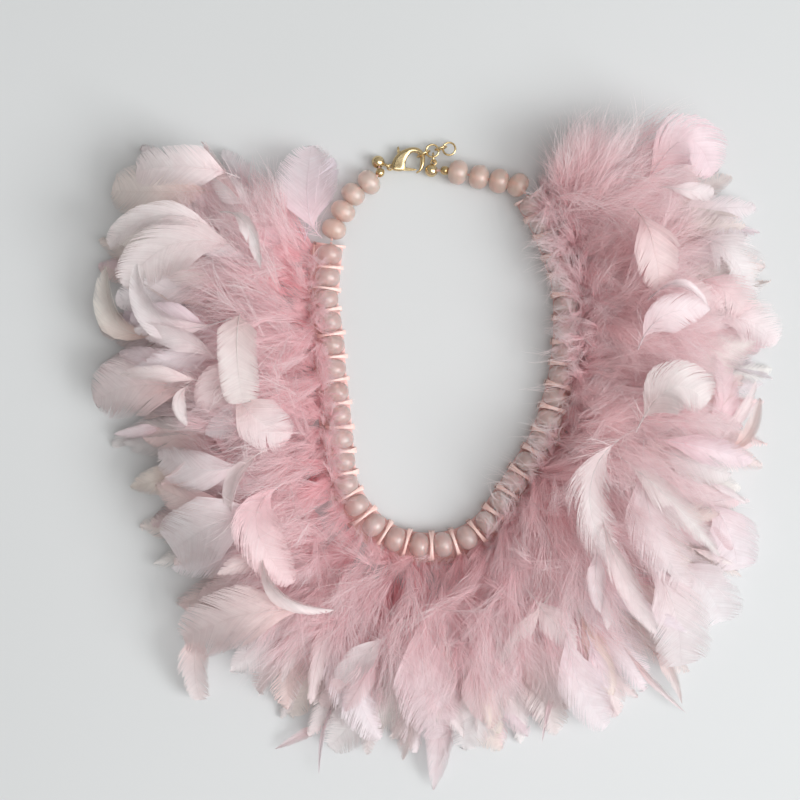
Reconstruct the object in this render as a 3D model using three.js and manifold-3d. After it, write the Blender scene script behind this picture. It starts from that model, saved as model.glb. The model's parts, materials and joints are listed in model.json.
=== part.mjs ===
// Feather collar: a beaded necklace whose strand is lashed to a backing ribbon that carries a deep fringe of feathers.
// Millimetres, +Z up. The collar lies face up on a surface at z = 0, with the neck opening in the middle and the clasp at +Y.
// The origin is the centre of the collar's outline, on the surface it lies on.
import * as THREE from "three";
import { mergeVertices } from "three/addons/utils/BufferGeometryUtils.js";
import Module from "manifold-3d";

// ---- driving dimensions ----
const BEAD_RADIUS = 5.0; // rondelle beads, 10 mm across
const BEAD_HALF_LENGTH = 3.5;
const BEAD_BORE = 1.0; // radius of the stringing hole
const BEAD_SIDES = 8;
const CORD_RADIUS = 0.5;
const COLLAR_BEAD_Z = 6.35; // beads that sit on the backing ribbon
const BACKING_THICKNESS = 1.0;
const BACKING_INNER = -4.6; // ribbon edges, measured outwards from the strand
const BACKING_OUTER = 8.5;
const FEATHER_INNER = 9.8; // where the feather fringe starts, outwards from the strand
const THREAD_WIDTH = 0.7;
const THREAD_THICKNESS = 0.7;
const THREAD_RUN_OFFSET = 7.0;
const SPACER_RADIUS = 1.8;
const COVER_RADIUS = 2.6; // hinged covers over the end knots
const COVER_WALL = 0.7;
const FINDING_Z = 3.3; // mid-height of the clasp and chain
const WIRE = 0.42; // radius of the chain's wire
const CLASP_THICKNESS = 2.0;
const LEVER_THICKNESS = 0.6;
const LEVER_SLOT = 1.2;
const FIRST_COLLAR_BEAD = 5; // beads 5 to 37 are lashed to the ribbon, the others are bare strand
const LAST_COLLAR_BEAD = 37;
const HINGE_CLEARANCE = 0.4; // half the gap between the cord ends at the two lifting points

// Bead centres along the strand, from the left end of the clasp round the opening to the right end: x, y.
const BEADS = [
  [-27.8, 107.6], [-34.2, 102.8], [-38.2, 96.0], [-41.8, 88.8], [-43.4, 78.8],
  [-44.2, 69.6], [-45.0, 60.8], [-43.6, 51.6], [-42.4, 42.4], [-41.8, 32.8],
  [-40.8, 23.6], [-39.8, 14.4], [-39.0, 4.8], [-38.2, -4.0], [-36.8, -13.2],
  [-32.6, -21.6], [-25.8, -29.6], [-17.4, -35.2], [-7.8, -37.6], [1.8, -37.4],
  [11.4, -34.6], [19.4, -28.6], [25.2, -20.4], [30.4, -12.6], [35.6, -4.6],
  [40.8, 3.8], [44.2, 12.6], [46.8, 21.4], [49.0, 30.2], [50.3, 39.4],
  [51.0, 48.6], [51.0, 58.2], [50.2, 67.2], [47.88, 75.4], [44.92, 83.4],
  [41.44, 91.1], [37.36, 98.48], [31.8, 106.4], [24.2, 108.0], [16.2, 109.7],
  [7.8, 111.6],
];
// Height of each bead's centre: the bare ends come down from the ribbon to the surface.
const BEAD_Z = BEADS.map((_, i) => {
  const n = i + 1;
  if (n >= FIRST_COLLAR_BEAD && n <= LAST_COLLAR_BEAD) return COLLAR_BEAD_Z;
  return { 1: 5.1, 2: 5.2, 3: 5.6, 4: 6.0, 38: 6.0, 39: 5.6, 40: 5.2, 41: 5.1 }[n];
});
const LEFT_SPACER = [-23.4, 111.6, 4.3];
const LEFT_COVER = [-24.2, 116.0, 3.1];
const LEFT_LOOP = [-20.8, 114.6]; // centre of the upright loop that carries the clasp
const RIGHT_SPACER = [2.6, 112.4, 4.5];
const RIGHT_COVER = [-2.8, 112.6, 3.1];
const RIGHT_LOOP = [-1.9, 115.9];
const CLASP_EYELET = [-19.4, 113.84];
const LEVER_PIVOT = [-15.8, 116.4];

// Outline of the feather fringe. Each row: place along the strand (bead number, or x y of the inner end), x and y of the outer edge, crest height.
const FRINGE = {
  feathers_left: [
    [[-50.6, 91.0], -44.0, 119.6, 24], [4.4, -61.4, 121.4, 30], [4.9, -93.4, 123.0, 36], [5.6, -126.4, 117.4, 36],
    [6.6, -135.4, 82.4, 38], [8.2, -136.6, 52.4, 38], [10.5, -136.6, 20.4, 38], [12.5, -128.2, 0.4, 36],
    [14.0, -116.4, -27.6, 36], [15.4, -112.2, -47.6, 36],
  ],
  feathers_front: [
    [15.4, -112.2, -47.6, 36], [16.1, -105.2, -77.6, 35], [17.0, -93.4, -101.6, 34], [18.1, -59.4, -119.6, 34],
    [19.0, -33.4, -128.6, 34], [20.0, -1.4, -134.4, 34], [20.9, 24.6, -128.6, 34], [21.8, 52.6, -121.6, 34],
    [22.8, 80.6, -112.6, 35], [23.8, 102.6, -97.6, 36],
  ],
  feathers_right: [
    [23.8, 102.6, -97.6, 36], [25.2, 119.6, -59.6, 38], [26.5, 128.4, -23.6, 38], [28.2, 133.6, 8.4, 40],
    [30.5, 136.6, 42.4, 40], [32.5, 132.6, 76.4, 40], [34.0, 123.4, 100.4, 40], [35.3, 110.4, 122.4, 38],
    [36.2, 84.6, 134.4, 34], [36.9, 56.6, 133.2, 28], [[42.6, 111.6], 38.2, 128.4, 20],
  ],
};
const FRINGE_INNER_HEIGHT = 12;
const FRINGE_OUTER_HEIGHT = 9;
const FRINGE_GAP = 0.3; // half the gap between neighbouring sections

// ---- helpers ----
const wasm = await Module();
wasm.setup();

function welded(geometry) {
  const g = (geometry.index ? geometry.toNonIndexed() : geometry).clone();
  for (const name of Object.keys(g.attributes)) if (name !== "position") g.deleteAttribute(name);
  return mergeVertices(g, 1e-4);
}
// Turns the faces outwards if the enclosed volume comes out negative.
function outward(geometry) {
  const g = welded(geometry);
  const p = g.attributes.position, ix = g.index.array;
  const a = new THREE.Vector3(), b = new THREE.Vector3(), c = new THREE.Vector3();
  let volume = 0;
  for (let i = 0; i < ix.length; i += 3) {
    a.fromBufferAttribute(p, ix[i]); b.fromBufferAttribute(p, ix[i + 1]); c.fromBufferAttribute(p, ix[i + 2]);
    volume += a.dot(b.cross(c));
  }
  if (volume < 0) for (let i = 0; i < ix.length; i += 3) [ix[i + 1], ix[i + 2]] = [ix[i + 2], ix[i + 1]];
  g.computeVertexNormals();
  return g;
}
function solid(geometry) {
  const g = outward(geometry);
  return new wasm.Manifold(new wasm.Mesh({
    numProp: 3, vertProperties: new Float32Array(g.attributes.position.array), triVerts: new Uint32Array(g.index.array),
  }));
}
function geometryOf(manifold) {
  const m = manifold.getMesh(), n = m.numProp, v = new Float32Array(m.numVert * 3);
  for (let i = 0; i < m.numVert; i++) v.set(m.vertProperties.subarray(i * n, i * n + 3), i * 3);
  const g = new THREE.BufferGeometry();
  g.setAttribute("position", new THREE.BufferAttribute(v, 3));
  g.setIndex(new THREE.BufferAttribute(new Uint32Array(m.triVerts), 1));
  g.computeVertexNormals();
  return g;
}
// A closed skin over a row of rings that each hold the same number of points.
function loft(rings) {
  const n = rings[0].length, positions = [], index = [];
  for (const ring of rings) for (const q of ring) positions.push(q.x, q.y, q.z);
  for (let r = 0; r + 1 < rings.length; r++)
    for (let k = 0; k < n; k++) {
      const a = r * n + k, b = r * n + ((k + 1) % n), c = a + n, d = b + n;
      index.push(a, b, d, a, d, c);
    }
  const last = (rings.length - 1) * n;
  for (let k = 1; k + 1 < n; k++) {
    index.push(0, k + 1, k);
    index.push(last, last + k, last + k + 1);
  }
  const g = new THREE.BufferGeometry();
  g.setAttribute("position", new THREE.Float32BufferAttribute(positions, 3));
  g.setIndex(index);
  return outward(g);
}
// A tube of SIDES sides through a row of points.
function tube(points, radius, sides = 8) {
  return loft(points.map((p, i) => {
    const t = points[Math.min(i + 1, points.length - 1)].clone().sub(points[Math.max(i - 1, 0)]).normalize();
    const side = new THREE.Vector3(0, 0, 1).cross(t).normalize();
    const up = t.clone().cross(side);
    return Array.from({ length: sides }, (_, k) => {
      const a = (2 * Math.PI * (k + 0.5)) / sides;
      return p.clone().addScaledVector(side, radius * Math.cos(a)).addScaledVector(up, radius * Math.sin(a));
    });
  }));
}
const vec = (p, z) => new THREE.Vector3(p[0], p[1], z === undefined ? p[2] : z);

const root = new THREE.Group();
const put = (parent, name, geometry, material) => {
  const mesh = new THREE.Mesh(geometry, material);
  mesh.name = name;
  parent.add(mesh);
  return mesh;
};

// ---- materials ----
const beadMaterial = new THREE.MeshStandardMaterial({ color: 0xc79d96, roughness: 0.45, metalness: 0 });
const featherMaterial = new THREE.MeshStandardMaterial({ color: 0xe3bcc0, roughness: 0.95, metalness: 0 });
const threadMaterial = new THREE.MeshStandardMaterial({ color: 0xeeb5ac, roughness: 0.5, metalness: 0 });
const backingMaterial = new THREE.MeshStandardMaterial({ color: 0xdc9f9d, roughness: 0.85, metalness: 0 });
const cordMaterial = new THREE.MeshStandardMaterial({ color: 0xe4aaa2, roughness: 0.7, metalness: 0 });
const goldMaterial = new THREE.MeshStandardMaterial({ color: 0xb99a4f, roughness: 0.22, metalness: 1 });

// ---- the strand's centre line ----
const strandPoints = BEADS.map((p, i) => vec(p, BEAD_Z[i]));
const strand = new THREE.CatmullRomCurve3(strandPoints, false, "centripetal");
const at = (n) => strand.getPoint((n - 1) / (BEADS.length - 1)); // n is a bead number, fractions lie between beads
const along = (n) => {
  const t = strand.getTangent((n - 1) / (BEADS.length - 1));
  return t.normalize();
};
// Away from the neck opening, level with the surface.
const outwards = (n) => {
  const t = along(n);
  return new THREE.Vector3(t.y, -t.x, 0).normalize();
};
const offset = (n, o, z) => {
  const p = at(n).addScaledVector(outwards(n), o);
  p.z = z;
  return p;
};

// ---- beads ----
const beadProfile = [
  [BEAD_BORE, -3.2], [3.3, -BEAD_HALF_LENGTH], [BEAD_RADIUS, -1.35], [BEAD_RADIUS, 1.35], [3.3, BEAD_HALF_LENGTH], [BEAD_BORE, 3.2], [BEAD_BORE, -3.2],
].map(([x, y]) => new THREE.Vector2(x, y));
const beadGeometry = outward(new THREE.LatheGeometry(beadProfile, BEAD_SIDES, Math.PI / BEAD_SIDES));
const strandGroup = new THREE.Group();
root.add(strandGroup);
BEADS.forEach((_, i) => {
  const holder = new THREE.Group();
  holder.position.copy(strandPoints[i]);
  // the bead's bore (its local Y) lies along the strand, with its local Z as near upright as it goes
  const t = along(i + 1);
  const side = new THREE.Vector3(0, 0, 1).cross(t).normalize();
  const up = t.clone().cross(side).negate();
  holder.quaternion.setFromRotationMatrix(new THREE.Matrix4().makeBasis(side, t, side.clone().cross(t)));
  strandGroup.add(holder);
  put(holder, "bead_" + String(i + 1).padStart(2, "0"), beadGeometry.clone(), beadMaterial);
});

// ---- stringing cord, in the collar and in the two bare ends ----
// It runs straight through each bead, and turns in the gaps.
const throughBead = (n) => {
  const t = along(n), p = strandPoints[n - 1];
  return [p.clone().addScaledVector(t, -BEAD_HALF_LENGTH + 0.2), p.clone().addScaledVector(t, BEAD_HALF_LENGTH - 0.2)];
};
const throughBeads = (from, to) => {
  const points = [];
  for (let n = from; n <= to; n++) points.push(...throughBead(n));
  return points;
};
// The two lifting points: half way between beads 4 and 5, and between beads 37 and 38.
const hingeLeft = strandPoints[3].clone().add(strandPoints[4]).multiplyScalar(0.5);
const hingeRight = strandPoints[36].clone().add(strandPoints[37]).multiplyScalar(0.5);
const nearest = (p, low, high) => {
  let best = low;
  for (let n = low; n <= high; n += 0.002) if (at(n).distanceTo(p) < at(best).distanceTo(p)) best = n;
  return best;
};
const nLeft = nearest(hingeLeft, 4, 5), nRight = nearest(hingeRight, 37, 38);
const stepLength = (n) => at(n + 0.01).distanceTo(at(n - 0.01)) / 0.02; // mm per unit of bead number
const dLeft = HINGE_CLEARANCE / stepLength(nLeft), dRight = HINGE_CLEARANCE / stepLength(nRight);
const collarCord = [at(nLeft + dLeft), ...throughBeads(FIRST_COLLAR_BEAD, LAST_COLLAR_BEAD), at(nRight - dRight)];
put(strandGroup, "cord_collar", tube(collarCord, CORD_RADIUS), cordMaterial);
const spacerWay = (centre, from, to) => {
  const d = vec(to).sub(from).normalize(), c = vec(centre);
  return [c.clone().addScaledVector(d, -1.4), c.clone().addScaledVector(d, 1.4)];
};
const leftEnd = [at(nLeft - dLeft), ...throughBeads(1, FIRST_COLLAR_BEAD - 1).reverse(), ...spacerWay(LEFT_SPACER, strandPoints[0], LEFT_COVER), vec(LEFT_COVER).lerp(vec(LEFT_SPACER), 0.3)];
const rightEnd = [at(nRight + dRight), ...throughBeads(LAST_COLLAR_BEAD + 1, BEADS.length), ...spacerWay(RIGHT_SPACER, strandPoints[40], RIGHT_COVER), vec(RIGHT_COVER).lerp(vec(RIGHT_SPACER), 0.25)];
put(strandGroup, "cord_back_left", tube(leftEnd, CORD_RADIUS), cordMaterial);
put(strandGroup, "cord_back_right", tube(rightEnd, CORD_RADIUS), cordMaterial);

// ---- backing ribbon under the lashed beads ----
const backFrom = nLeft + 1.0 / stepLength(nLeft), backTo = nRight - 1.0 / stepLength(nRight);
const ribbonRings = [];
const RIBBON_STEPS = 60;
for (let k = 0; k <= RIBBON_STEPS; k++) {
  const n = backFrom + ((backTo - backFrom) * k) / RIBBON_STEPS;
  ribbonRings.push([
    offset(n, BACKING_INNER, 0), offset(n, BACKING_OUTER, 0), offset(n, BACKING_OUTER, BACKING_THICKNESS), offset(n, BACKING_INNER, BACKING_THICKNESS),
  ]);
}
put(root, "backing_ribbon", loft(ribbonRings), backingMaterial);

// ---- lashing thread: one run along the ribbon, with a stitch over the cord in every gap between lashed beads ----
const threadFoot = BACKING_THICKNESS + 0.35;
// Path of a stitch across the strand: outwards offset and height, on the middle of the thread.
const STITCH = [
  [-4.1, threadFoot], [-3.9, 4.4], [-1.5, COLLAR_BEAD_Z + 1.25], [1.5, COLLAR_BEAD_Z + 1.25], [4.3, 4.4], [THREAD_RUN_OFFSET + 0.1, threadFoot + 0.1],
];
function stitchShape() {
  const h = THREAD_THICKNESS / 2, upper = [], lower = [];
  STITCH.forEach(([o, z], i) => {
    const [ao, az] = STITCH[Math.max(i - 1, 0)], [bo, bz] = STITCH[Math.min(i + 1, STITCH.length - 1)];
    const d = new THREE.Vector2(bo - ao, bz - az).normalize();
    upper.push(new THREE.Vector2(o - d.y * h, z + d.x * h));
    lower.unshift(new THREE.Vector2(o + d.y * h, z - d.x * h));
  });
  for (const q of [...upper, ...lower]) q.y = Math.max(q.y, threadFoot);
  return new THREE.Shape([...upper, ...lower]);
}
const stitchGeometry = new THREE.ExtrudeGeometry(stitchShape(), { depth: THREAD_WIDTH, bevelEnabled: false });
stitchGeometry.translate(0, 0, -THREAD_WIDTH / 2);
const runRings = [];
const h = THREAD_THICKNESS / 2;
const stitchPlaces = [];
for (let n = FIRST_COLLAR_BEAD - 1; n <= LAST_COLLAR_BEAD; n++) {
  let place = n + 0.5;
  if (n === FIRST_COLLAR_BEAD - 1) place = nLeft + 0.85 / stepLength(nLeft); // the end stitches sit on the collar's side of the lifting points
  if (n === LAST_COLLAR_BEAD) place = nRight - 0.85 / stepLength(nRight);
  stitchPlaces.push(place);
}
for (let k = 0; k < stitchPlaces.length; k++) {
  const places = k + 1 < stitchPlaces.length ? [stitchPlaces[k], (stitchPlaces[k] + stitchPlaces[k + 1]) / 2] : [stitchPlaces[k]];
  for (const n of places)
    runRings.push([
      offset(n, THREAD_RUN_OFFSET - h, threadFoot), offset(n, THREAD_RUN_OFFSET + h, threadFoot),
      offset(n, THREAD_RUN_OFFSET + h, threadFoot + 2 * h), offset(n, THREAD_RUN_OFFSET - h, threadFoot + 2 * h),
    ]);
}
// the run starts and ends a little beyond the end stitches, so that they close into it
const stretch = (ring, next, d) => ring.map((p, i) => p.clone().addScaledVector(p.clone().sub(next[i]).normalize(), d));
runRings.unshift(stretch(runRings[0], runRings[1], THREAD_WIDTH / 2));
runRings.push(stretch(runRings[runRings.length - 1], runRings[runRings.length - 2], THREAD_WIDTH / 2));
let thread = solid(loft(runRings));
for (const n of stitchPlaces) {
  const o = outwards(n), up = new THREE.Vector3(0, 0, 1), p = at(n);
  p.z = 0;
  const m = new THREE.Matrix4().makeBasis(o, up, o.clone().cross(up));
  m.setPosition(p);
  thread = thread.add(solid(stitchGeometry.clone().applyMatrix4(m)));
}
put(root, "lashing_thread", geometryOf(thread), threadMaterial);

// ---- feather fringe, in three sections round the ribbon ----
for (const [name, rows] of Object.entries(FRINGE)) {
  const inner = rows.map(([n]) => (Array.isArray(n) ? vec(n, 0) : offset(n, FEATHER_INNER, 0)));
  const outer = rows.map(([, x, y]) => new THREE.Vector3(x, y, 0));
  const last = rows.length - 1;
  for (const line of [inner, outer]) {
    line[0].addScaledVector(line[1].clone().sub(line[0]).normalize(), FRINGE_GAP);
    line[last].addScaledVector(line[last - 1].clone().sub(line[last]).normalize(), FRINGE_GAP);
  }
  put(root, name, loft(rows.map(([, , , crest], i) => {
    const p = (share, z) => inner[i].clone().lerp(outer[i], share).setZ(z);
    return [p(0, 0), p(1, 0), p(1, FRINGE_OUTER_HEIGHT), p(0.72, crest * 0.8), p(0.42, crest), p(0.15, crest * 0.72), p(0, FRINGE_INNER_HEIGHT)];
  })), featherMaterial);
}

// ---- findings ----
const findings = new THREE.Group();
root.add(findings);
// Small plain spacer balls, bored for the cord.
function spacer(name, centre, from, to) {
  const profile = [[0.95, -1.5], [1.45, -1.1], [SPACER_RADIUS, 0], [1.45, 1.1], [0.95, 1.5], [0.95, -1.5]].map(([x, y]) => new THREE.Vector2(x, y));
  const mesh = put(findings, name, outward(new THREE.LatheGeometry(profile, 12)), goldMaterial);
  mesh.position.copy(vec(centre));
  mesh.quaternion.setFromUnitVectors(new THREE.Vector3(0, 1, 0), vec(to).sub(from).normalize());
}
spacer("spacer_ball_left", LEFT_SPACER, strandPoints[0], LEFT_COVER);
spacer("spacer_ball_right", RIGHT_SPACER, strandPoints[40], RIGHT_COVER);

// Knot covers: a round cup whose mouth lets the cord in, with a loop on its far side.
function cup(centre, mouthTowards) {
  const inner = COVER_RADIUS - COVER_WALL, profile = [];
  const mouth = Math.asin(1.2 / COVER_RADIUS);
  for (let k = 0; k <= 7; k++) {
    const a = Math.PI - (k / 7) * (Math.PI - mouth);
    profile.push([Math.max(COVER_RADIUS * Math.sin(a), k === 0 ? 0 : 0.01), COVER_RADIUS * Math.cos(a)]);
  }
  const innerMouth = Math.asin(1.2 / inner);
  for (let k = 0; k <= 4; k++) {
    const a = innerMouth + (k / 4) * (Math.PI - innerMouth);
    profile.push([k === 4 ? 0 : inner * Math.sin(a), inner * Math.cos(a)]);
  }
  profile[0][0] = 0;
  const g = new THREE.LatheGeometry(profile.map(([x, y]) => new THREE.Vector2(x, y)), 12);
  const q = new THREE.Quaternion().setFromUnitVectors(new THREE.Vector3(0, 1, 0), vec(mouthTowards).sub(vec(centre)).normalize());
  return solid(g.applyQuaternion(q).translate(...centre));
}
// An upright wire ring whose plane holds the Z axis and the level direction DIR.
function ringGeometry(radius, wire, flat, dir, centre, tubeSides = 6, ringSides = 18) {
  const g = new THREE.TorusGeometry(radius, wire, tubeSides, ringSides);
  if (!flat) {
    const d = new THREE.Vector3(dir[0], dir[1], 0).normalize(), z = new THREE.Vector3(0, 0, 1);
    g.applyMatrix4(new THREE.Matrix4().makeBasis(d, z, d.clone().cross(z)));
  }
  return g.translate(...centre);
}
const disc = (radius, thickness, x, y, z, sides = 16) => new THREE.CylinderGeometry(radius, radius, thickness, sides).rotateX(Math.PI / 2).translate(x, y, z);
const loopDir = [CLASP_EYELET[0] - LEFT_LOOP[0], CLASP_EYELET[1] - LEFT_LOOP[1]];
const leftLoop = solid(ringGeometry(1.55, WIRE, false, loopDir, [...LEFT_LOOP, FINDING_Z]));
put(findings, "knot_cover_left", geometryOf(cup(LEFT_COVER, LEFT_SPACER).add(leftLoop)), goldMaterial);
let rightCover = cup(RIGHT_COVER, RIGHT_SPACER).add(solid(disc(1.35, 1.0, ...RIGHT_LOOP, FINDING_Z)));
rightCover = rightCover.subtract(solid(disc(0.75, 3, ...RIGHT_LOOP, FINDING_Z)));
put(findings, "knot_cover_right", geometryOf(rightCover), goldMaterial);

// Claw clasp. Outline around the lever's pivot: the hook curls round from the eyelet end and comes back under the lever's tip.
const CLASP_OUTLINE = [
  [-3.2, -3.8], [-3.0, -1.2], [-2.0, 1.4], [0, 3.6], [2.4, 4.8], [5.2, 5.6], [7.6, 5.4], [9.4, 4.2], [10.4, 2.2], [10.5, -0.2],
  [9.9, -2.6], [8.6, -4.4], [6.8, -5.2], [6.9, -4.35], [8.1, -3.7], [8.5, -2.0], [8.7, 0], [8.5, 1.8], [7.2, 3.2], [5.2, 3.5],
  [3.8, 2.2], [2.92, 0.6], [2.64, -1.2], [2.4, -2.4], [1.6, -4.3],
];
const LEVER_OUTLINE = [
  [-0.5, 1.2], [-0.9, 5.6], [0.1, 6.0], [0.6, 1.2], [1.4, 0.4], [1.6, -0.8], [1.7, -2.2], [3.6, -2.7], [7.0, -3.1], [7.1, -3.85],
  [3.4, -4.0], [1.0, -3.9], [-0.6, -2.6], [-1.2, -0.6], [-1.0, 0.6],
];
const SLOT_OUTLINE = [[-2.2, 7.5], [1.4, 7.5], [1.4, 1.5], [3.3, -0.4], [3.3, -6.5], [-2.2, -6.5]];
const plate = (outline, thickness) =>
  new THREE.ExtrudeGeometry(new THREE.Shape(outline.map(([x, y]) => new THREE.Vector2(x, y))), { depth: thickness, bevelEnabled: false })
    .translate(0, 0, -thickness / 2)
    .translate(LEVER_PIVOT[0], LEVER_PIVOT[1], FINDING_Z);
let clasp = solid(plate(CLASP_OUTLINE, CLASP_THICKNESS));
clasp = clasp.subtract(solid(plate(SLOT_OUTLINE, LEVER_SLOT)));
clasp = clasp.add(solid(disc(1.35, 1.0, ...CLASP_EYELET, FINDING_Z)));
clasp = clasp.subtract(solid(disc(0.75, 3, ...CLASP_EYELET, FINDING_Z)));
put(findings, "clasp_body", geometryOf(clasp), goldMaterial);
put(findings, "clasp_lever", outward(plate(LEVER_OUTLINE, LEVER_THICKNESS)), goldMaterial);

// Extension chain: wire rings, upright and level in turn. Each row: radius, level?, one or two places.
const between = (a, b) => ({ centre: [(a[0] + b[0]) / 2, (a[1] + b[1]) / 2, FINDING_Z], dir: [b[0] - a[0], b[1] - a[1]], radius: Math.hypot(b[0] - a[0], b[1] - a[1]) / 2 });
const upright = { chain_ring_1: between([-8.4, 118.0], [-3.5, 120.4]), chain_ring_3: between([-2.1, 119.5], RIGHT_LOOP), chain_ring_4: between([-1.2, 120.88], [3.2, 122.1]) };
const level = { chain_ring_2: [-2.4, 120.5, FINDING_Z], chain_ring_5: [4.35, 121.3, FINDING_Z] };
for (const [name, r] of Object.entries(upright)) put(findings, name, outward(ringGeometry(r.radius, WIRE, false, r.dir, r.centre)), goldMaterial);
for (const [name, c] of Object.entries(level)) put(findings, name, outward(ringGeometry(2.5, WIRE, true, null, c)), goldMaterial);

export default root;
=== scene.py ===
import json
import math
import bpy
import numpy as np
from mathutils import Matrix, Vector

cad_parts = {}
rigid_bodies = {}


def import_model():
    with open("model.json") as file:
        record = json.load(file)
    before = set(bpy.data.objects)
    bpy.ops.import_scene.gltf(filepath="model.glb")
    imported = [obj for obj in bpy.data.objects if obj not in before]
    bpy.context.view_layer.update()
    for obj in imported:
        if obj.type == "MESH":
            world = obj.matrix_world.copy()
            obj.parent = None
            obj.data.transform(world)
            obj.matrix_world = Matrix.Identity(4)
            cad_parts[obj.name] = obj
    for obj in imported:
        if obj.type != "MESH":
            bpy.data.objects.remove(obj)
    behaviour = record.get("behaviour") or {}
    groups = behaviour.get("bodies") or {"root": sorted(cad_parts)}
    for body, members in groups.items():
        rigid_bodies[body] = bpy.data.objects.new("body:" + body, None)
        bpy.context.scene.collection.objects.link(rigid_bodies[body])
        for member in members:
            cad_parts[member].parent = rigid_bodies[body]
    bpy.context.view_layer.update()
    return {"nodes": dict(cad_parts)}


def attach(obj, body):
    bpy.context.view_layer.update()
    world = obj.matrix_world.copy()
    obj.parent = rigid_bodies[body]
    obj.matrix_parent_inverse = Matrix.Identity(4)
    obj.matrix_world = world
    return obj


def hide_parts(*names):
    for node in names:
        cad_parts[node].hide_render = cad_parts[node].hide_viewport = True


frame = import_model()
nodes = frame["nodes"]


MM = 0.001
rng = np.random.default_rng(20)
scene = bpy.context.scene
scene.view_settings.view_transform = "Standard"
scene.view_settings.look = "None"
scene.cycles.diffuse_bounces = 8
scene.cycles.max_bounces = 12

# ---------------------------------------------------------------- camera
CAM_X, CAM_Y, CAM_Z, PLANE_Z, SCALE = -15.4, 20.4, 626.0, 6.0, 0.4
cam_data = bpy.data.cameras.new("camera")
cam_data.sensor_width = 36.0
cam_data.lens = 36.0 * (CAM_Z - PLANE_Z) / (800 * SCALE)
cam_data.clip_start = 0.01
cam_data.clip_end = 20.0
camera = bpy.data.objects.new("camera", cam_data)
scene.collection.objects.link(camera)
camera.location = (CAM_X * MM, CAM_Y * MM, CAM_Z * MM)
scene.camera = camera


def at_view(px, py, z):
    """The point at height z (mm) that shows at (px, py) of the square view."""
    k = SCALE * (CAM_Z - z) / (CAM_Z - PLANE_Z)
    return np.array([CAM_X + (px - 400) * k, CAM_Y + (400 - py) * k, z])


# ---------------------------------------------------------------- the strand's centre line, as the frame has it
BEADS = np.array([
    [-27.8, 107.6], [-34.2, 102.8], [-38.2, 96.0], [-41.8, 88.8], [-43.4, 78.8],
    [-44.2, 69.6], [-45.0, 60.8], [-43.6, 51.6], [-42.4, 42.4], [-41.8, 32.8],
    [-40.8, 23.6], [-39.8, 14.4], [-39.0, 4.8], [-38.2, -4.0], [-36.8, -13.2],
    [-32.6, -21.6], [-25.8, -29.6], [-17.4, -35.2], [-7.8, -37.6], [1.8, -37.4],
    [11.4, -34.6], [19.4, -28.6], [25.2, -20.4], [30.4, -12.6], [35.6, -4.6],
    [40.8, 3.8], [44.2, 12.6], [46.8, 21.4], [49.0, 30.2], [50.3, 39.4],
    [51.0, 48.6], [51.0, 58.2], [50.2, 67.2], [47.88, 75.4], [44.92, 83.4],
    [41.44, 91.1], [37.36, 98.48], [31.8, 106.4], [24.2, 108.0], [16.2, 109.7],
    [7.8, 111.6]])
BEAD_Z = np.full(41, 6.35)
for _n, _z in {1: 5.1, 2: 5.2, 3: 5.6, 4: 6.0, 38: 6.0, 39: 5.6, 40: 5.2, 41: 5.1}.items():
    BEAD_Z[_n - 1] = _z
KNOTS = np.column_stack([BEADS, BEAD_Z])


def on_strand(n):
    """Point and unit tangent of the strand at bead number n (a fraction lies between beads)."""
    n = np.atleast_1d(np.asarray(n, float))
    p = np.clip(n - 1, 0, 40)
    i = np.minimum(np.floor(p).astype(int), 39)
    w = (p - i)[:, None]
    ext = np.vstack([2 * KNOTS[0] - KNOTS[1], KNOTS, 2 * KNOTS[-1] - KNOTS[-2]])
    p0, p1, p2, p3 = ext[i], ext[i + 1], ext[i + 2], ext[i + 3]
    d = lambda a, b: np.sqrt(np.linalg.norm(a - b, axis=1))[:, None]
    d0, d1, d2 = d(p0, p1), d(p1, p2), d(p2, p3)
    t1 = ((p1 - p0) / d0 - (p2 - p0) / (d0 + d1) + (p2 - p1) / d1) * d1
    t2 = ((p2 - p1) / d1 - (p3 - p1) / (d1 + d2) + (p3 - p2) / d2) * d1
    c2, c3 = -3 * p1 + 3 * p2 - 2 * t1 - t2, 2 * p1 - 2 * p2 + t1 + t2
    pos = p1 + t1 * w + c2 * w ** 2 + c3 * w ** 3
    tan = t1 + 2 * c2 * w + 3 * c3 * w ** 2
    return pos, tan / np.linalg.norm(tan, axis=1)[:, None]


def offset(n, o, z):
    pos, tan = on_strand(n)
    out = np.column_stack([tan[:, 1], -tan[:, 0]])
    out /= np.linalg.norm(out, axis=1)[:, None]
    q = pos.copy()
    q[:, :2] += out * np.reshape(o, (-1, 1))
    q[:, 2] = z
    return q


# Outline of the fringe: place along the strand, outer edge x y, crest height.
ROWS = np.array([
    [4.20, -44.0, 119.6, 24], [4.4, -61.4, 121.4, 30], [4.9, -93.4, 123.0, 36], [5.6, -126.4, 117.4, 36],
    [6.6, -135.4, 82.4, 38], [8.2, -136.6, 52.4, 38], [10.5, -136.6, 20.4, 38], [12.5, -128.2, 0.4, 36],
    [14.0, -116.4, -27.6, 36], [15.4, -112.2, -47.6, 36], [16.1, -105.2, -77.6, 35], [17.0, -93.4, -101.6, 34],
    [18.1, -59.4, -119.6, 34], [19.0, -33.4, -128.6, 34], [20.0, -1.4, -134.4, 34], [20.9, 24.6, -128.6, 34],
    [21.8, 52.6, -121.6, 34], [22.8, 80.6, -112.6, 35], [23.8, 102.6, -97.6, 36], [25.2, 119.6, -59.6, 38],
    [26.5, 128.4, -23.6, 38], [28.2, 133.6, 8.4, 40], [30.5, 136.6, 42.4, 40], [32.5, 132.6, 76.4, 40],
    [34.0, 123.4, 100.4, 40], [35.3, 110.4, 122.4, 38], [36.2, 84.6, 134.4, 34], [36.9, 56.6, 133.2, 28],
    [37.5, 38.2, 128.4, 20]])


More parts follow.
